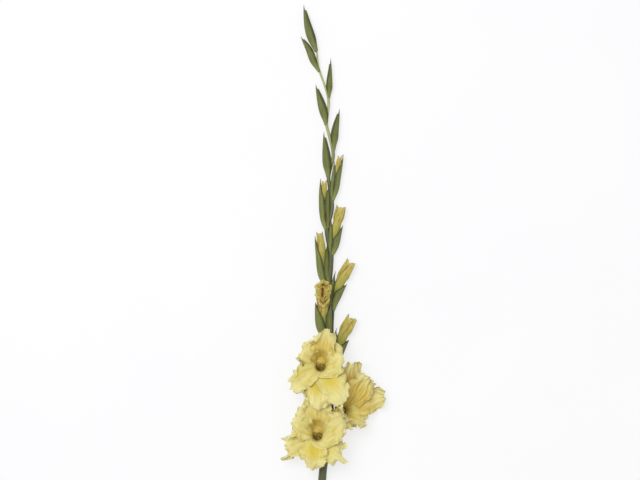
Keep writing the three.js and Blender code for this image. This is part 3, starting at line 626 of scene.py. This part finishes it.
def open_margin(parts, floret, route, size, rise, shift, seed):
    """A ruffled margin that lies open round a brown slit on the front of the opening bud."""
    rows, sides = OPEN_GRID
    ring = np.linspace(0.04, 1, rows)[:, None]
    turn = np.linspace(0, 2 * math.pi, sides, endpoint=False)[None]
    scallop = 1 + ring ** 3 * (0.1 * cusps(3.5 * turn + seed) + 0.06 * cusps(7.5 * turn + 2 * seed))
    aside, along_bud = ring * np.cos(turn) * scallop, ring * np.sin(turn) * scallop
    aside = aside * (1.04 - 0.6 * smoothstep(-along_bud, 0.1, 1))
    t = 0.94 + shift + size * 0.21 * along_bud
    angle = math.pi / 2 - 1.32 * size * aside + 0.12 * math.sin(3 * seed) * (1 - size ** 2)
    slit = np.exp(-((aside / 0.2) ** 2)) * (1 - smoothstep(np.abs(along_bud), 0.5, 0.85))
    ruffles = ring ** 2 * (1.5 * np.sin(8 * turn + seed) + 0.7 * np.sin(15 * turn + 3 * seed))
    pleats = 0.6 * crease(11 * turn + 2 * ring + seed) * smoothstep(ring, 0.15, 0.6)
    stand = rise + 2.2 * ring ** 2 + size * (ruffles + pleats) - (rise - 0.6) * slit
    radius = bud_radius(floret, np.minimum(t, 0.95)) + stand
    front = bud_point(route, t, angle, radius, 0 * t)
    back = bud_point(route, t, angle, radius - PETAL_THICK, 0 * t)
    brown = np.exp(-((aside / 0.6) ** 2)) * (1 - smoothstep(np.abs(along_bud), 0.5, 0.95))
    fold = np.clip(slit + brown * (0.65 + 0.35 * np.sin(7 * turn + seed)), 0, 1.2)
    grain = vector(2.2 + ring, 2 * np.cos(turn), 2 * np.sin(turn) + seed)
    tint = vector(0 * fold, fold, size ** 3 * smoothstep(ring, 0.7, 1) + 0 * turn)
    grain, tint = (np.concatenate([values, values[::-1]]) for values in (grain, tint))
    parts.tube(np.concatenate([front, back[::-1]]), grain, tint)


# Blooms
def bloom_frame(bloom):
    """A bloom's throat as origin, the way it faces, and the directions right and up across it."""
    axis = unit(np.array(bloom["facing"], float))
    right, up = square_to(axis, np.array(bloom["zero"], float))
    return {"origin": np.array(bloom["throat"], float), "axis": axis, "right": right, "up": up,
            "margin": bloom["margin"]}


def offset_from(view, sideways, over, ahead):
    sideways, over, ahead = (np.asarray(value, float)[..., None] for value in (sideways, over, ahead))
    return view["origin"] + view["right"] * sideways + view["up"] * over + view["axis"] * ahead


def petal_width(petal, s):
    end = petal["end"]
    sides = [(0, 0.42), (0.12, 0.52), (0.34, 0.8), (0.6, 1.03)]
    knots = [*sides, (0.82, 0.8 + 0.2 * end), (0.93, 0.45 + 0.55 * end), (1, end)]
    return petal["half"] * along(knots, s)


def margin_share(view, angle, reach, s):
    """How much further than its own reach a petal goes in each direction."""
    if not view["margin"]:
        return 1.0
    turns, reaches = np.array(view["margin"], float).T
    limit = np.interp(np.degrees(angle) % 360, turns, reaches, period=360)
    return 1 + (limit / reach - 1) * smoothstep(s, 0.45, 1)


def beside_hood(azimuth):
    """Near 1 for a petal at the side, and 0 for the hood on top and the lip below."""
    return 1 - math.sin(azimuth) ** 8


def petal_spread(petal, s, v):
    """Half width along a petal with its frills and longer points, slim where it lies beside the hood."""
    width = petal_width(petal, s) * (1 + frills(s, v, petal["phase"]) * np.abs(v) ** 4)
    azimuth = math.radians(petal["azimuth"])
    slim = beside_hood(azimuth) * smoothstep(math.sin(azimuth), 0.1, 0.3)
    slim = slim * smoothstep(v * math.cos(azimuth), 0, 0.5)
    width = width * (1 - SLIM * slim * (1 - smoothstep(s, 0.35, 0.75)))
    for place, edge, length, breadth in petal["points"]:
        width = width + length * np.exp(-(((s - place) / breadth) ** 2)) * smoothstep(v * edge, 0, 0.8)
    return width


def petal_height(petal, s, angle):
    """How far a petal stands ahead of the throat. The hood's petals rise later than the lip's."""
    middle = petal["middle"]
    end = [(0.72, middle), (1, petal["tip"])]
    lip_way = along([(0, -6), (0.08, -1.5), (0.16, 2.4), (0.4, middle * 0.72), *end], s)
    hood_way = along([(0, -10), (0.08, -7), (0.16, -4), (0.4, middle * 0.42), *end], s)
    return lip_way + (hood_way - lip_way) * smoothstep(np.sin(angle), -0.3, 0.9)


def funnel(view, petal, s, v):
    """The plain surface of a petal, one of six that overlap in a funnel, hollowed under the hood."""
    reach = petal["reach"]
    azimuth = math.radians(petal["azimuth"])
    away = along([(0, THROAT - 2), (0.08, THROAT - 0.8), (0.16, THROAT + 1.6), (0.4, reach * 0.42),
                  (0.72, reach * 0.76), (1, reach)], s)
    offset = petal_spread(petal, s, v) * v / away
    angle = azimuth + offset
    upper = np.maximum(np.sin(angle), 0)
    recess = upper ** 3 * smoothstep(s, 0, 0.14) * (1 - smoothstep(s, 0.2, 0.5))
    tuck = beside_hood(azimuth) * upper ** 3 * smoothstep(np.abs(offset), 0.3, 0.9)
    away = away + HOOD_ASIDE * recess - 3 * upper * (1 - smoothstep(s, 0, 0.07))
    ahead = petal_height(petal, s, angle) - HOOD_BACK * recess - 4.5 * tuck * (1 - smoothstep(s, 0.6, 0.85))
    away = away * margin_share(view, angle, reach, s) * (1 + end_points(s, v, petal["phase"], reach))
    if not view["margin"]:
        away = away * (1 + 0.3 * np.minimum(offset ** 2, 1) * smoothstep(s, 0.5, 0.9))
    return offset_from(view, np.cos(angle) * away, np.sin(angle) * away, ahead)


def petal_surface(view, petal, s, v):
    """The middle surface of a petal, with its ruffles, creases and midrib."""
    front, phase = petal["front"], petal["phase"]
    side = np.where(v < 0, 1.9, 0.0)
    plain = funnel(view, petal, s, v)
    direction = unit(np.gradient(plain, axis=0))
    across = unit(np.gradient(plain, axis=1))
    normal = unit(np.cross(direction, across))
    edge = np.abs(v) ** 1.6 * smoothstep(s, 0.3, 0.68)
    wave = np.sin(2 * math.pi * RUFFLE_WAVES * s + phase * 2 + side)
    midrib = np.exp(-((v / 0.25) ** 2)) * smoothstep(s, 0.15, 0.4)
    stand = front * LAYER * smoothstep(s, 0.05, 0.25) + RUFFLE * edge * (wave + 0.7 * front) - 0.7 * midrib
    stand = stand + fine_ruffles(s, v, phase, side) + petal["ochre"] * streaked_folds(s, v, phase)
    stand = stand * (1 - 0.55 * smoothstep(s, 0.78, 1) * v ** 4)
    return plain + normal * stand[..., None] + direction * lean(s, v, phase, side)[..., None]


def throat_tone_and_shade(petal, s, v):
    """The throat's warm colour, drawn out like a drop along the folds of the upper petals, and painted shade
    at its hole.
    """
    angle = math.radians(petal["azimuth"]) + petal_width(petal, s) * v / np.maximum(petal["reach"] * s, 6)
    upper = smoothstep(np.sin(angle), -0.2, 0.9)
    drop = np.maximum(np.sin(angle), 0) ** 6
    # Painted shade: darkest where the petal goes down into the throat's hole, less under the hood.
    deep_shade = (1.2 - 1.0 * drop) * (1 - smoothstep(s, 0, 0.15)) + 0.1 * drop * (1 - smoothstep(s, 0.1, 0.3))
    hood = smoothstep(math.sin(math.radians(petal["azimuth"])), 0.95, 0.98)
    fold = np.exp(-(((v - 0.22 - 0.3 * (s - 0.3)) / 0.15) ** 2)) + 0.6 * np.exp(-(((v + 0.14) / 0.09) ** 2))
    streak = 0.8 * hood * fold * smoothstep(s, 0.08, 0.2) * (1 - smoothstep(s, 0.4, 0.9))
    glow = (0.35 + 0.15 * upper) * (1 - smoothstep(s, 0.12, 0.3 + 0.25 * upper + 0.15 * drop))
    return deep_shade + glow + streak


def crease(x):
    """A wave with sharp turns."""
    return np.arcsin(CREASE * np.sin(x)) / CREASE_TOP


def cusps(x):
    """Round hollows between sharp points."""
    return 0.5 - np.abs(np.sin(x)) ** 0.6


def fine_ruffles(s, v, phase, side):
    """Waves that grow toward the margin, and creases that run from the throat to the edge."""
    margin = np.abs(v) ** 2.5 * smoothstep(s, 0.25, 0.6)
    end = smoothstep(s, 0.72, 1)
    waves = 1.8 * np.sin(2 * math.pi * 5.3 * s + 4 * phase + side)
    waves = waves + 0.5 * crease(2 * math.pi * 9.1 * s + phase)
    tips = 2.0 * crease(6 * v + 5 * phase) + 0.9 * np.sin(14 * v + 3 * phase)
    lines = 5.0 * v + 1.6 * np.sin(2.5 * s + phase) + 0.9 * np.sin(3.4 * v + 2 * phase) + phase
    folds = 1.8 * crease(0.6 * lines + 2.5 * s) * smoothstep(s, 0.2, 0.8)
    pleats = folds + 0.22 * np.sin(lines) * smoothstep(s, 0.14, 0.6)
    pleats = pleats + 0.12 * crease(2.7 * lines) * smoothstep(s, 0.3, 0.7)
    return margin * waves * (1 - 0.5 * end) + end * tips * (1 - 0.5 * v ** 2) + pleats


def streaked_folds(s, v, phase):
    """Deeper folds that fan out from the throat of a petal with ochre streaks."""
    fan = smoothstep(s, 0.2, 0.5)
    return fan * (1.3 * crease(9 * v + 2 * phase) + 0.8 * crease(17 * v + 2 * np.sin(5 * s) + phase))


def lean(s, v, phase, side):
    """The ruffles lean along the margin, so that they fold over a little."""
    margin = np.abs(v) ** 3 * smoothstep(s, 0.3, 0.65)
    return margin * 0.8 * np.cos(2 * math.pi * 5.3 * s + 4 * phase + side)


def frills(s, v, phase):
    """Points and notches along the sides, as a share of the half width."""
    side = np.where(v < 0, 2.0, 0.0)
    large = cusps(2 * math.pi * 1.7 * s + 2 * phase + side)
    small = cusps(2 * math.pi * 4.9 * s + 3 * phase + 1.4 * np.sin(9 * s) + side)
    fray = FRAY * np.sin(26 * s + 5 * phase + 2 * v)
    return smoothstep(s, 0.35, 0.7) * (0.24 * large + 0.08 * small) + fray


def end_points(s, v, phase, reach):
    """Points and notches along the end, as a share of the reach."""
    large = cusps(2.3 * v + 2.1 * phase)
    small = cusps(6.7 * v + 5 * phase)
    return (3.2 * large + 1.6 * small) / reach * smoothstep(s, 0.72, 1)


def tube_route(bloom, view):
    """From the stem through the tube's own points, and straight into the throat."""
    third = np.array(bloom["tube"][2], float)
    foot = view["origin"] - view["axis"] * 6 + (third - view["origin"]) * 0.25
    return Route((0, 0.25, 0.5, 0.8, 1), [*bloom["tube"][:3], tuple(foot), tuple(view["origin"])])


def bloom_tube(parts, bloom, view):
    """The tube, with a skin outside and inside, darkened by painted shade in the depth of the throat and to
    one side.
    """
    way = tube_route(bloom, view)
    outside = np.linspace(0, TUBE_RIM, TUBE_RINGS[0])
    inside = np.linspace(TUBE_RIM, TUBE_FLOOR, TUBE_RINGS[1])
    levels = np.concatenate([outside, inside])
    radius = along(TUBE_RADIUS, levels) - np.concatenate([0 * outside, np.full(TUBE_RINGS[1], TUBE_SKIN)])
    angle = round_angles(TUBE_SIDES)
    lobes = 1 + 0.05 * np.cos(6 * angle)[None] * smoothstep(levels, 0.3, 0.8)[:, None]
    grid = rings(way.point(levels), way.direction(levels), bloom["zero"], radius[:, None] * lobes, TUBE_SIDES)
    # Painted shade in the depth: outside under the petals' claws, and darker further down inside.
    outer_depth_shade = 1.4 * smoothstep(outside, 0.74, 0.84)
    inner_depth_shade = 1.4 + 0.6 * smoothstep(TUBE_RIM - inside, 0.02, 0.26)
    depth = np.concatenate([outer_depth_shade, inner_depth_shade])[:, None]
    # Painted shade: darker toward the lower left of the mouth, seen from above, and lighter on the opposite
    # side.
    shaded = 0.45 * np.cos(angle - math.radians(250))[None] * (depth > 0)
    grain = vector(levels[:, None], 2 * np.cos(angle)[None], 2 * np.sin(angle)[None])
    parts.tube(grid, grain, vector(np.maximum(depth + shaded, 0), 0, 0))


def bloom_petal(parts, view, petal, index, s, v):
    """A petal, thinner at its margins, with its shades of lemon, ochre and pale rim."""
    thick = PETAL_THICK * (1 - 0.4 * np.maximum(np.abs(v) ** 6, smoothstep(s, 0.9, 1)))
    front, back = thickened(petal_surface(view, petal, s, v), thick, 0.05)
    lemon = petal["lemon"] * smoothstep(s, 0.08, 0.25) * (1 - smoothstep(s, 0.35, 0.85))
    lemon = lemon * np.exp(-((v / 0.7) ** 2))
    ochre = petal["ochre"] * (1 - smoothstep(s, 0.5, 1))
    edge = np.maximum(smoothstep(np.abs(v), 0.86, 1) * smoothstep(s, 0.4, 0.7), smoothstep(s, 0.93, 1))
    tint = vector(throat_tone_and_shade(petal, s, v), lemon - ochre, edge)
    parts.sheet(front, back, vector(s * 2.5, v * 2.5, index * 3.0), tint)


def flower_piece(number, bloom, material):
    """A bloom: its tube and its six petals."""
    view = bloom_frame(bloom)
    parts = Parts()
    bloom_tube(parts, bloom, view)
    rows, columns = PETAL_GRID
    s, v = np.meshgrid(1 - np.linspace(1, 0, rows) ** 1.3, np.linspace(-1, 1, columns), indexing="ij")
    for index, row in enumerate(bloom["petals"]):
        bloom_petal(parts, view, dict(zip(PETAL_KEYS, row)), index, s, v)
    parts.finish(f"petals_{number}_skin", [f"petals_{number}"], material)


def thread(parts, route, radius, tint, rows=24, sides=10):
    """A thin round body along a route, with the radius as a function of the place."""
    t = np.linspace(0, 1, rows)
    grid = rings(route.point(t), route.direction(t), (0.2, 0.3, 0.9), radius(t), sides)
    parts.tube(grid, vector(t[:, None], 0, 0), vector(*tint))


def stamens_piece(number, bloom, material):
    """Three stamens with long anthers and a style with three curled branches."""
    view = bloom_frame(bloom)
    way = tube_route(bloom, view)
    floor = TUBE_FLOOR + 0.015
    parts = Parts()
    root = Route((0, 1), [way.point(floor), way.point(floor + 0.08)])
    thread(parts, root, lambda t: along(TUBE_RADIUS, floor) - TUBE_WALL - GAP - 0.8 * t, (1, 0, 0), 4, 20)

    def thread_route(end):
        def beside(t):
            return way.point(t) + view["right"] * end[0] / 2 + view["up"] * end[1] / 2
        return Route((0, 0.5, 1), [beside(floor + 0.04), beside(0.76), offset_from(view, *end)])

    def anther(t):
        return 0.42 + 0.62 * smoothstep(t, 0.62, 0.72) - 0.75 * smoothstep(t, 0.86, 1)

    for end in ANTHERS:
        thread(parts, thread_route(end), anther, (0, 0.6, 0), 40, 12)
    thread(parts, thread_route(STYLE_FORK), lambda t: 0.5 + 0 * t, (0, 0, 0.4), 30)
    for end in STYLE_BRANCHES:
        start, stop = offset_from(view, *STYLE_FORK), offset_from(view, *end)
        bow = (start + stop) / 2 + view["up"] * 0.8
        thread(parts, Route((0, 0.5, 1), [start, bow, stop]), lambda t: 0.4 + 0.5 * t ** 2, (0, 0, 0.8), 14)
    parts.finish(f"stamens_{number}_skin", [f"stamens_{number}"], material)


# Materials
def srgb(red, green, blue):
    """A linear colour from the eye's scale of 0 to 255."""
    def linear(value):
        value /= 255
        return value / 12.92 if value <= 0.04045 else ((value + 0.055) / 1.055) ** 2.4
    return (linear(red), linear(green), linear(blue), 1)


# The colour inputs and the colour output of a mix node, and how rough the noises are.
MIX_FIRST, MIX_SECOND, MIX_OUT = 6, 7, 2
NOISE_ROUGHNESS = 0.55


class Shader:
    """A material's nodes, built one call at a time."""

    def __init__(self, name, roughness, specular=0.3):
        self.material = bpy.data.materials.new(name)
        self.material.use_nodes = True
        self.tree = self.material.node_tree
        self.surface = self.tree.nodes["Principled BSDF"]
        self.surface.inputs["Roughness"].default_value = roughness
        self.surface.inputs["Specular IOR Level"].default_value = specular

    def node(self, kind, **inputs):
        made = self.tree.nodes.new(kind)
        for key, value in inputs.items():
            self.feed(made.inputs[key.replace("_", " ")], value)
        return made

    def feed(self, socket, value):
        if isinstance(value, bpy.types.NodeSocket):
            self.tree.links.new(value, socket)
        else:
            socket.default_value = value

    def attribute(self, name):
        made = self.tree.nodes.new("ShaderNodeAttribute")
        made.attribute_name = name
        return made.outputs["Vector"]

    def shading(self):
        """The mesh's grain, and the three values of its tint."""
        return self.attribute("grain"), self.split(self.attribute("tint"))

    def split(self, value):
        made = self.node("ShaderNodeSeparateXYZ", Vector=value)
        return [made.outputs[axis] for axis in "XYZ"]

    def noise(self, value, scale, detail, stretch=None):
        if stretch:
            value = self.node("ShaderNodeMapping", Vector=value, Scale=stretch).outputs["Vector"]
        kind = "ShaderNodeTexNoise"
        made = self.node(kind, Vector=value, Scale=scale, Detail=detail, Roughness=NOISE_ROUGHNESS)
        return made.outputs["Fac"]

    def ramp(self, value, low, high):
        made = self.tree.nodes.new("ShaderNodeMapRange")
        made.interpolation_type = "SMOOTHSTEP"
        self.feed(made.inputs["Value"], value)
        made.inputs["From Min"].default_value = low
        made.inputs["From Max"].default_value = high
        return made.outputs["Result"]

    def maths(self, operation, a, b):
        made = self.tree.nodes.new("ShaderNodeMath")
        made.operation = operation
        self.feed(made.inputs[0], a)
        self.feed(made.inputs[1], b)
        return made.outputs[0]

    def mix(self, share, a, b):
        made = self.tree.nodes.new("ShaderNodeMix")
        made.data_type = "RGBA"
        self.feed(made.inputs["Factor"], share)
        self.feed(made.inputs[MIX_FIRST], a)
        self.feed(made.inputs[MIX_SECOND], b)
        return made.outputs[MIX_OUT]

    def over(self, base, mask, strength, colour):
        """The base with a colour laid over it where the mask says."""
        return self.mix(self.maths("MULTIPLY", mask, strength), base, colour)

    def colour(self, value):
        self.feed(self.surface.inputs["Base Color"], value)

    def bump(self, height, strength, distance):
        made = self.node("ShaderNodeBump", Height=height, Strength=strength, Distance=distance)
        self.feed(self.surface.inputs["Normal"], made.outputs["Normal"])

    def soft(self, weight, radius, scale):
        self.surface.inputs["Subsurface Weight"].default_value = weight
        self.surface.inputs["Subsurface Radius"].default_value = radius
        self.surface.inputs["Subsurface Scale"].default_value = scale


def petal_material():
    """Cream with streaks along the petal, ochre patches, a lemon lip, a throat darkened by painted shade, a
    withered rim.
    """
    shader = Shader("petal cream", 0.6, 0.22)
    grain, tint = shader.shading()
    streaks = shader.noise(grain, 2.2, 3, (0.3, 3, 1))
    fine = shader.noise(grain, 3.0, 1, (0.3, 15, 1))
    patches = shader.noise(grain, 1.3, 2, (0.8, 1, 1))
    base = shader.mix(shader.ramp(streaks, 0.3, 0.7), srgb(210, 198, 120), srgb(222, 212, 144))
    base = shader.over(base, shader.ramp(patches, 0.48, 0.72), 0.6, srgb(194, 170, 74))
    blots = shader.noise(grain, 1.9, 3, (1.6, 2.2, 1))
    base = shader.over(base, shader.ramp(blots, 0.46, 0.7), 0.5, srgb(192, 176, 88))
    outer = shader.ramp(shader.split(grain)[0], 1.2, 2.5)
    base = shader.over(base, outer, 0.45, srgb(225, 220, 168))
    base = shader.over(base, shader.ramp(fine, 0.5, 0.75), 0.1, srgb(196, 168, 78))
    base = shader.over(base, shader.ramp(tint[1], 0, 1), 0.8, srgb(206, 182, 40))
    # Ochre veins where the petal is ochre; on bloom 15 they are partly painted shade.
    veins = shader.mix(shader.ramp(streaks, 0.4, 0.62), srgb(186, 150, 50), srgb(214, 190, 92))
    base = shader.over(base, shader.ramp(tint[1], 0, -1), 0.85, veins)
    # Warm ochre round the throat; past 0.9 the tint is painted shade, darkening the throat and the tube
    # toward brown.
    base = shader.over(base, shader.ramp(tint[0], 0.1, 1.0), 0.8, srgb(200, 176, 80))
    base = shader.mix(shader.ramp(tint[0], 0.9, 1.9), base, srgb(108, 86, 26))
    withered = shader.ramp(shader.noise(grain, 2.6, 2), 0.42, 0.62)
    rim = shader.mix(withered, srgb(172, 160, 96), srgb(242, 234, 188))
    shader.colour(shader.over(base, tint[2], 0.75, rim))
    shader.bump(shader.maths("ADD", streaks, shader.maths("MULTIPLY", fine, 0.3)), 0.15, 0.001)
    shader.soft(0.22, (1.0, 0.8, 0.3), 0.0016)
    return shader.material


def bud_material():
    """Yellow with brown folds and spots, green below, and brown painted shade down the mouth."""
    shader = Shader("bud yellow", 0.6, 0.25)
    grain, tint = shader.shading()
    streaks = shader.noise(grain, 2.4, 4, (0.7, 3, 3))
    fine = shader.noise(grain, 3.0, 3, (1.2, 8, 8))
    base = shader.mix(shader.ramp(streaks, 0.35, 0.68), srgb(178, 165, 74), srgb(220, 209, 124))
    base = shader.over(base, tint[0], 0.75, srgb(160, 164, 70))
    # Brown in the folds; the same brown is painted shade down the mouth and at the loose petals' base.
    base = shader.over(base, tint[1], 0.92, srgb(130, 84, 14))
    base = shader.over(base, shader.ramp(fine, 0.55, 0.72), 0.35, srgb(150, 122, 40))
    spots = shader.ramp(shader.noise(grain, 1.9, 3, (1.5, 1.6, 1.6)), 0.52, 0.62)
    upper = shader.ramp(shader.split(grain)[0], 1.5, 2.5)
    base = shader.over(base, shader.maths("MULTIPLY", spots, upper), 0.75, srgb(150, 100, 28))
    base = shader.over(base, tint[2], 0.75, srgb(216, 202, 128))
    shader.colour(base)
    shader.bump(shader.maths("ADD", streaks, fine), 0.7, 0.001)
    shader.soft(0.12, (1.0, 0.8, 0.3), 0.0012)
    return shader.material


def bract_material():
    """Green with fine veins, dark edges and tips, pale at the base."""
    shader = Shader("bract green", 0.5, 0.35)
    grain, tint = shader.shading()
    veins = shader.noise(grain, 3.0, 3, (0.3, 6, 1))
    patches = shader.noise(grain, 1.6, 3, (1.2, 0.8, 1))
    base = shader.mix(shader.ramp(veins, 0.36, 0.66), srgb(95, 103, 46), srgb(141, 146, 77))
    base = shader.over(base, shader.ramp(patches, 0.45, 0.75), 0.55, srgb(74, 84, 40))
    base = shader.over(base, tint[0], 0.7, srgb(154, 158, 92))
    base = shader.over(base, tint[1], 0.9, srgb(50, 56, 28))
    base = shader.over(base, tint[2], 0.85, srgb(56, 52, 34))
    shader.colour(base)
    shader.bump(veins, 0.6, 0.001)
    return shader.material


def stem_material():
    """Dark green with streaks below, pale green near the tip, and a pale pith on the cut."""
    shader = Shader("stem green", 0.48, 0.4)
    grain, tint = shader.shading()
    streaks = shader.noise(grain, 2.0, 4, (0.6, 3.5, 3.5))
    mottle = shader.noise(grain, 1.5, 3, (6, 2, 2))
    old = shader.mix(shader.ramp(streaks, 0.38, 0.66), srgb(62, 68, 34), srgb(112, 114, 78))
    young = shader.mix(shader.ramp(streaks, 0.35, 0.68), srgb(152, 158, 94), srgb(196, 200, 144))
    base = shader.mix(tint[0], old, young)
    base = shader.over(base, shader.ramp(mottle, 0.5, 0.75), 0.4, srgb(78, 76, 42))
    base = shader.over(base, tint[1], 0.3, srgb(96, 104, 56))
    rings_of_fibre = shader.ramp(shader.split(grain)[0], 0.75, 0.95)
    pith = shader.mix(rings_of_fibre, srgb(206, 212, 168), srgb(150, 160, 98))
    shader.colour(shader.mix(tint[2], base, pith))
    shader.bump(streaks, 0.4, 0.0008)
    return shader.material


def stamen_material():
    """Ivory with fine specks, brown at the root."""
    shader = Shader("stamen ivory", 0.6, 0.3)
    grain, tint = shader.shading()
    speck = shader.noise(grain, 30.0, 2)
    base = shader.mix(shader.ramp(speck, 0.4, 0.7), srgb(170, 142, 66), srgb(196, 172, 94))
    base = shader.mix(tint[1], base, srgb(196, 170, 98))
    base = shader.mix(tint[2], base, srgb(230, 214, 150))
    base = shader.mix(tint[0], base, srgb(84, 64, 16))
    shader.colour(base)
    shader.bump(speck, 0.3, 0.0003)
    return shader.material


def floor_material():
    """Pale and faintly clouded, so bright that it shows hardly any shadow."""
    shader = Shader("pale floor", 0.9, 0.1)
    coordinates = shader.tree.nodes.new("ShaderNodeTexCoord")
    cloud = shader.noise(coordinates.outputs["Object"], 3.0, 2)
    shader.colour(shader.mix(cloud, srgb(136, 136, 138), srgb(140, 140, 142)))
    glow = shader.mix(cloud, srgb(252, 252, 253), srgb(255, 255, 255))
    shader.feed(shader.surface.inputs["Emission Color"], glow)
    shader.surface.inputs["Emission Strength"].default_value = FLOOR_GLOW
    return shader.material


# Stage
# The picture's width in pixels, and a pixel and the camera's sensor in millimetres. The rest is in metres.
PHOTO_WIDTH = 640
PIXEL = 1.4
SENSOR = 36
DISTANCE = 3.0
FOCUS_HEIGHT = 0.012
FLOOR_REACH = 6
FLOOR_DROP = 0.0005
FLOOR_GLOW = 0.7
SKY_STRENGTH = 0.62
KEY_LIGHT = {"place": (-0.9, 0.9, 2.6), "size": 1.8, "power": 54}


def make_floor():
    mesh = bpy.data.meshes.new("floor")
    corners = [(x * FLOOR_REACH, y * FLOOR_REACH, 0) for x, y in ((-1, -1), (1, -1), (1, 1), (-1, 1))]
    mesh.from_pydata(corners, [], [(0, 1, 2, 3)])
    mesh.materials.append(floor_material())
    floor = bpy.data.objects.new("floor", mesh)
    floor.location.z = -FLOOR_DROP
    bpy.context.scene.collection.objects.link(floor)


def make_camera():
    """Straight above, so that the recipe's own origin is the middle of the picture."""
    data = bpy.data.cameras.new("camera")
    data.sensor_width = SENSOR
    data.lens = SENSOR * DISTANCE / (PHOTO_WIDTH * PIXEL / 1000)
    camera = bpy.data.objects.new("camera", data)
    x, y = SHIFT[:2] / 1000
    camera.location = (x, y, DISTANCE + FOCUS_HEIGHT)
    bpy.context.scene.collection.objects.link(camera)
    bpy.context.scene.camera = camera


def make_light():
    """A large soft light from the upper left, turned to the origin."""
    data = bpy.data.lights.new("key", "AREA")
    data.size = KEY_LIGHT["size"]
    data.energy = KEY_LIGHT["power"]
    light = bpy.data.objects.new("key", data)
    light.location = KEY_LIGHT["place"]
    light.rotation_euler = (-Vector(KEY_LIGHT["place"])).to_track_quat("-Z", "Y").to_euler()
    bpy.context.scene.collection.objects.link(light)


def make_world():
    """An even white surrounding, shown with plain colours."""
    world = bpy.data.worlds.new("studio")
    world.use_nodes = True
    background = world.node_tree.nodes["Background"]
    background.inputs["Color"].default_value = (1, 1, 1, 1)
    background.inputs["Strength"].default_value = SKY_STRENGTH
    bpy.context.scene.world = world
    settings = bpy.context.scene.view_settings
    settings.view_transform = "Standard"
    settings.look = "None"


def build():
    petal, bud, bract, stamen = petal_material(), bud_material(), bract_material(), stamen_material()
    stem_piece(stem_material())
    for number, floret in enumerate(FLORETS, 1):
        if "outer" in floret:
            open_bracts(number, floret, bract)
        else:
            closed_bracts(number, floret, bract)
        if number in BLOOMS:
            flower_piece(number, BLOOMS[number], petal)
            stamens_piece(number, BLOOMS[number], stamen)
        elif "outer" in floret:
            bud_piece(number, floret, bud)
    make_floor()
    make_camera()
    make_world()
    make_light()


build()
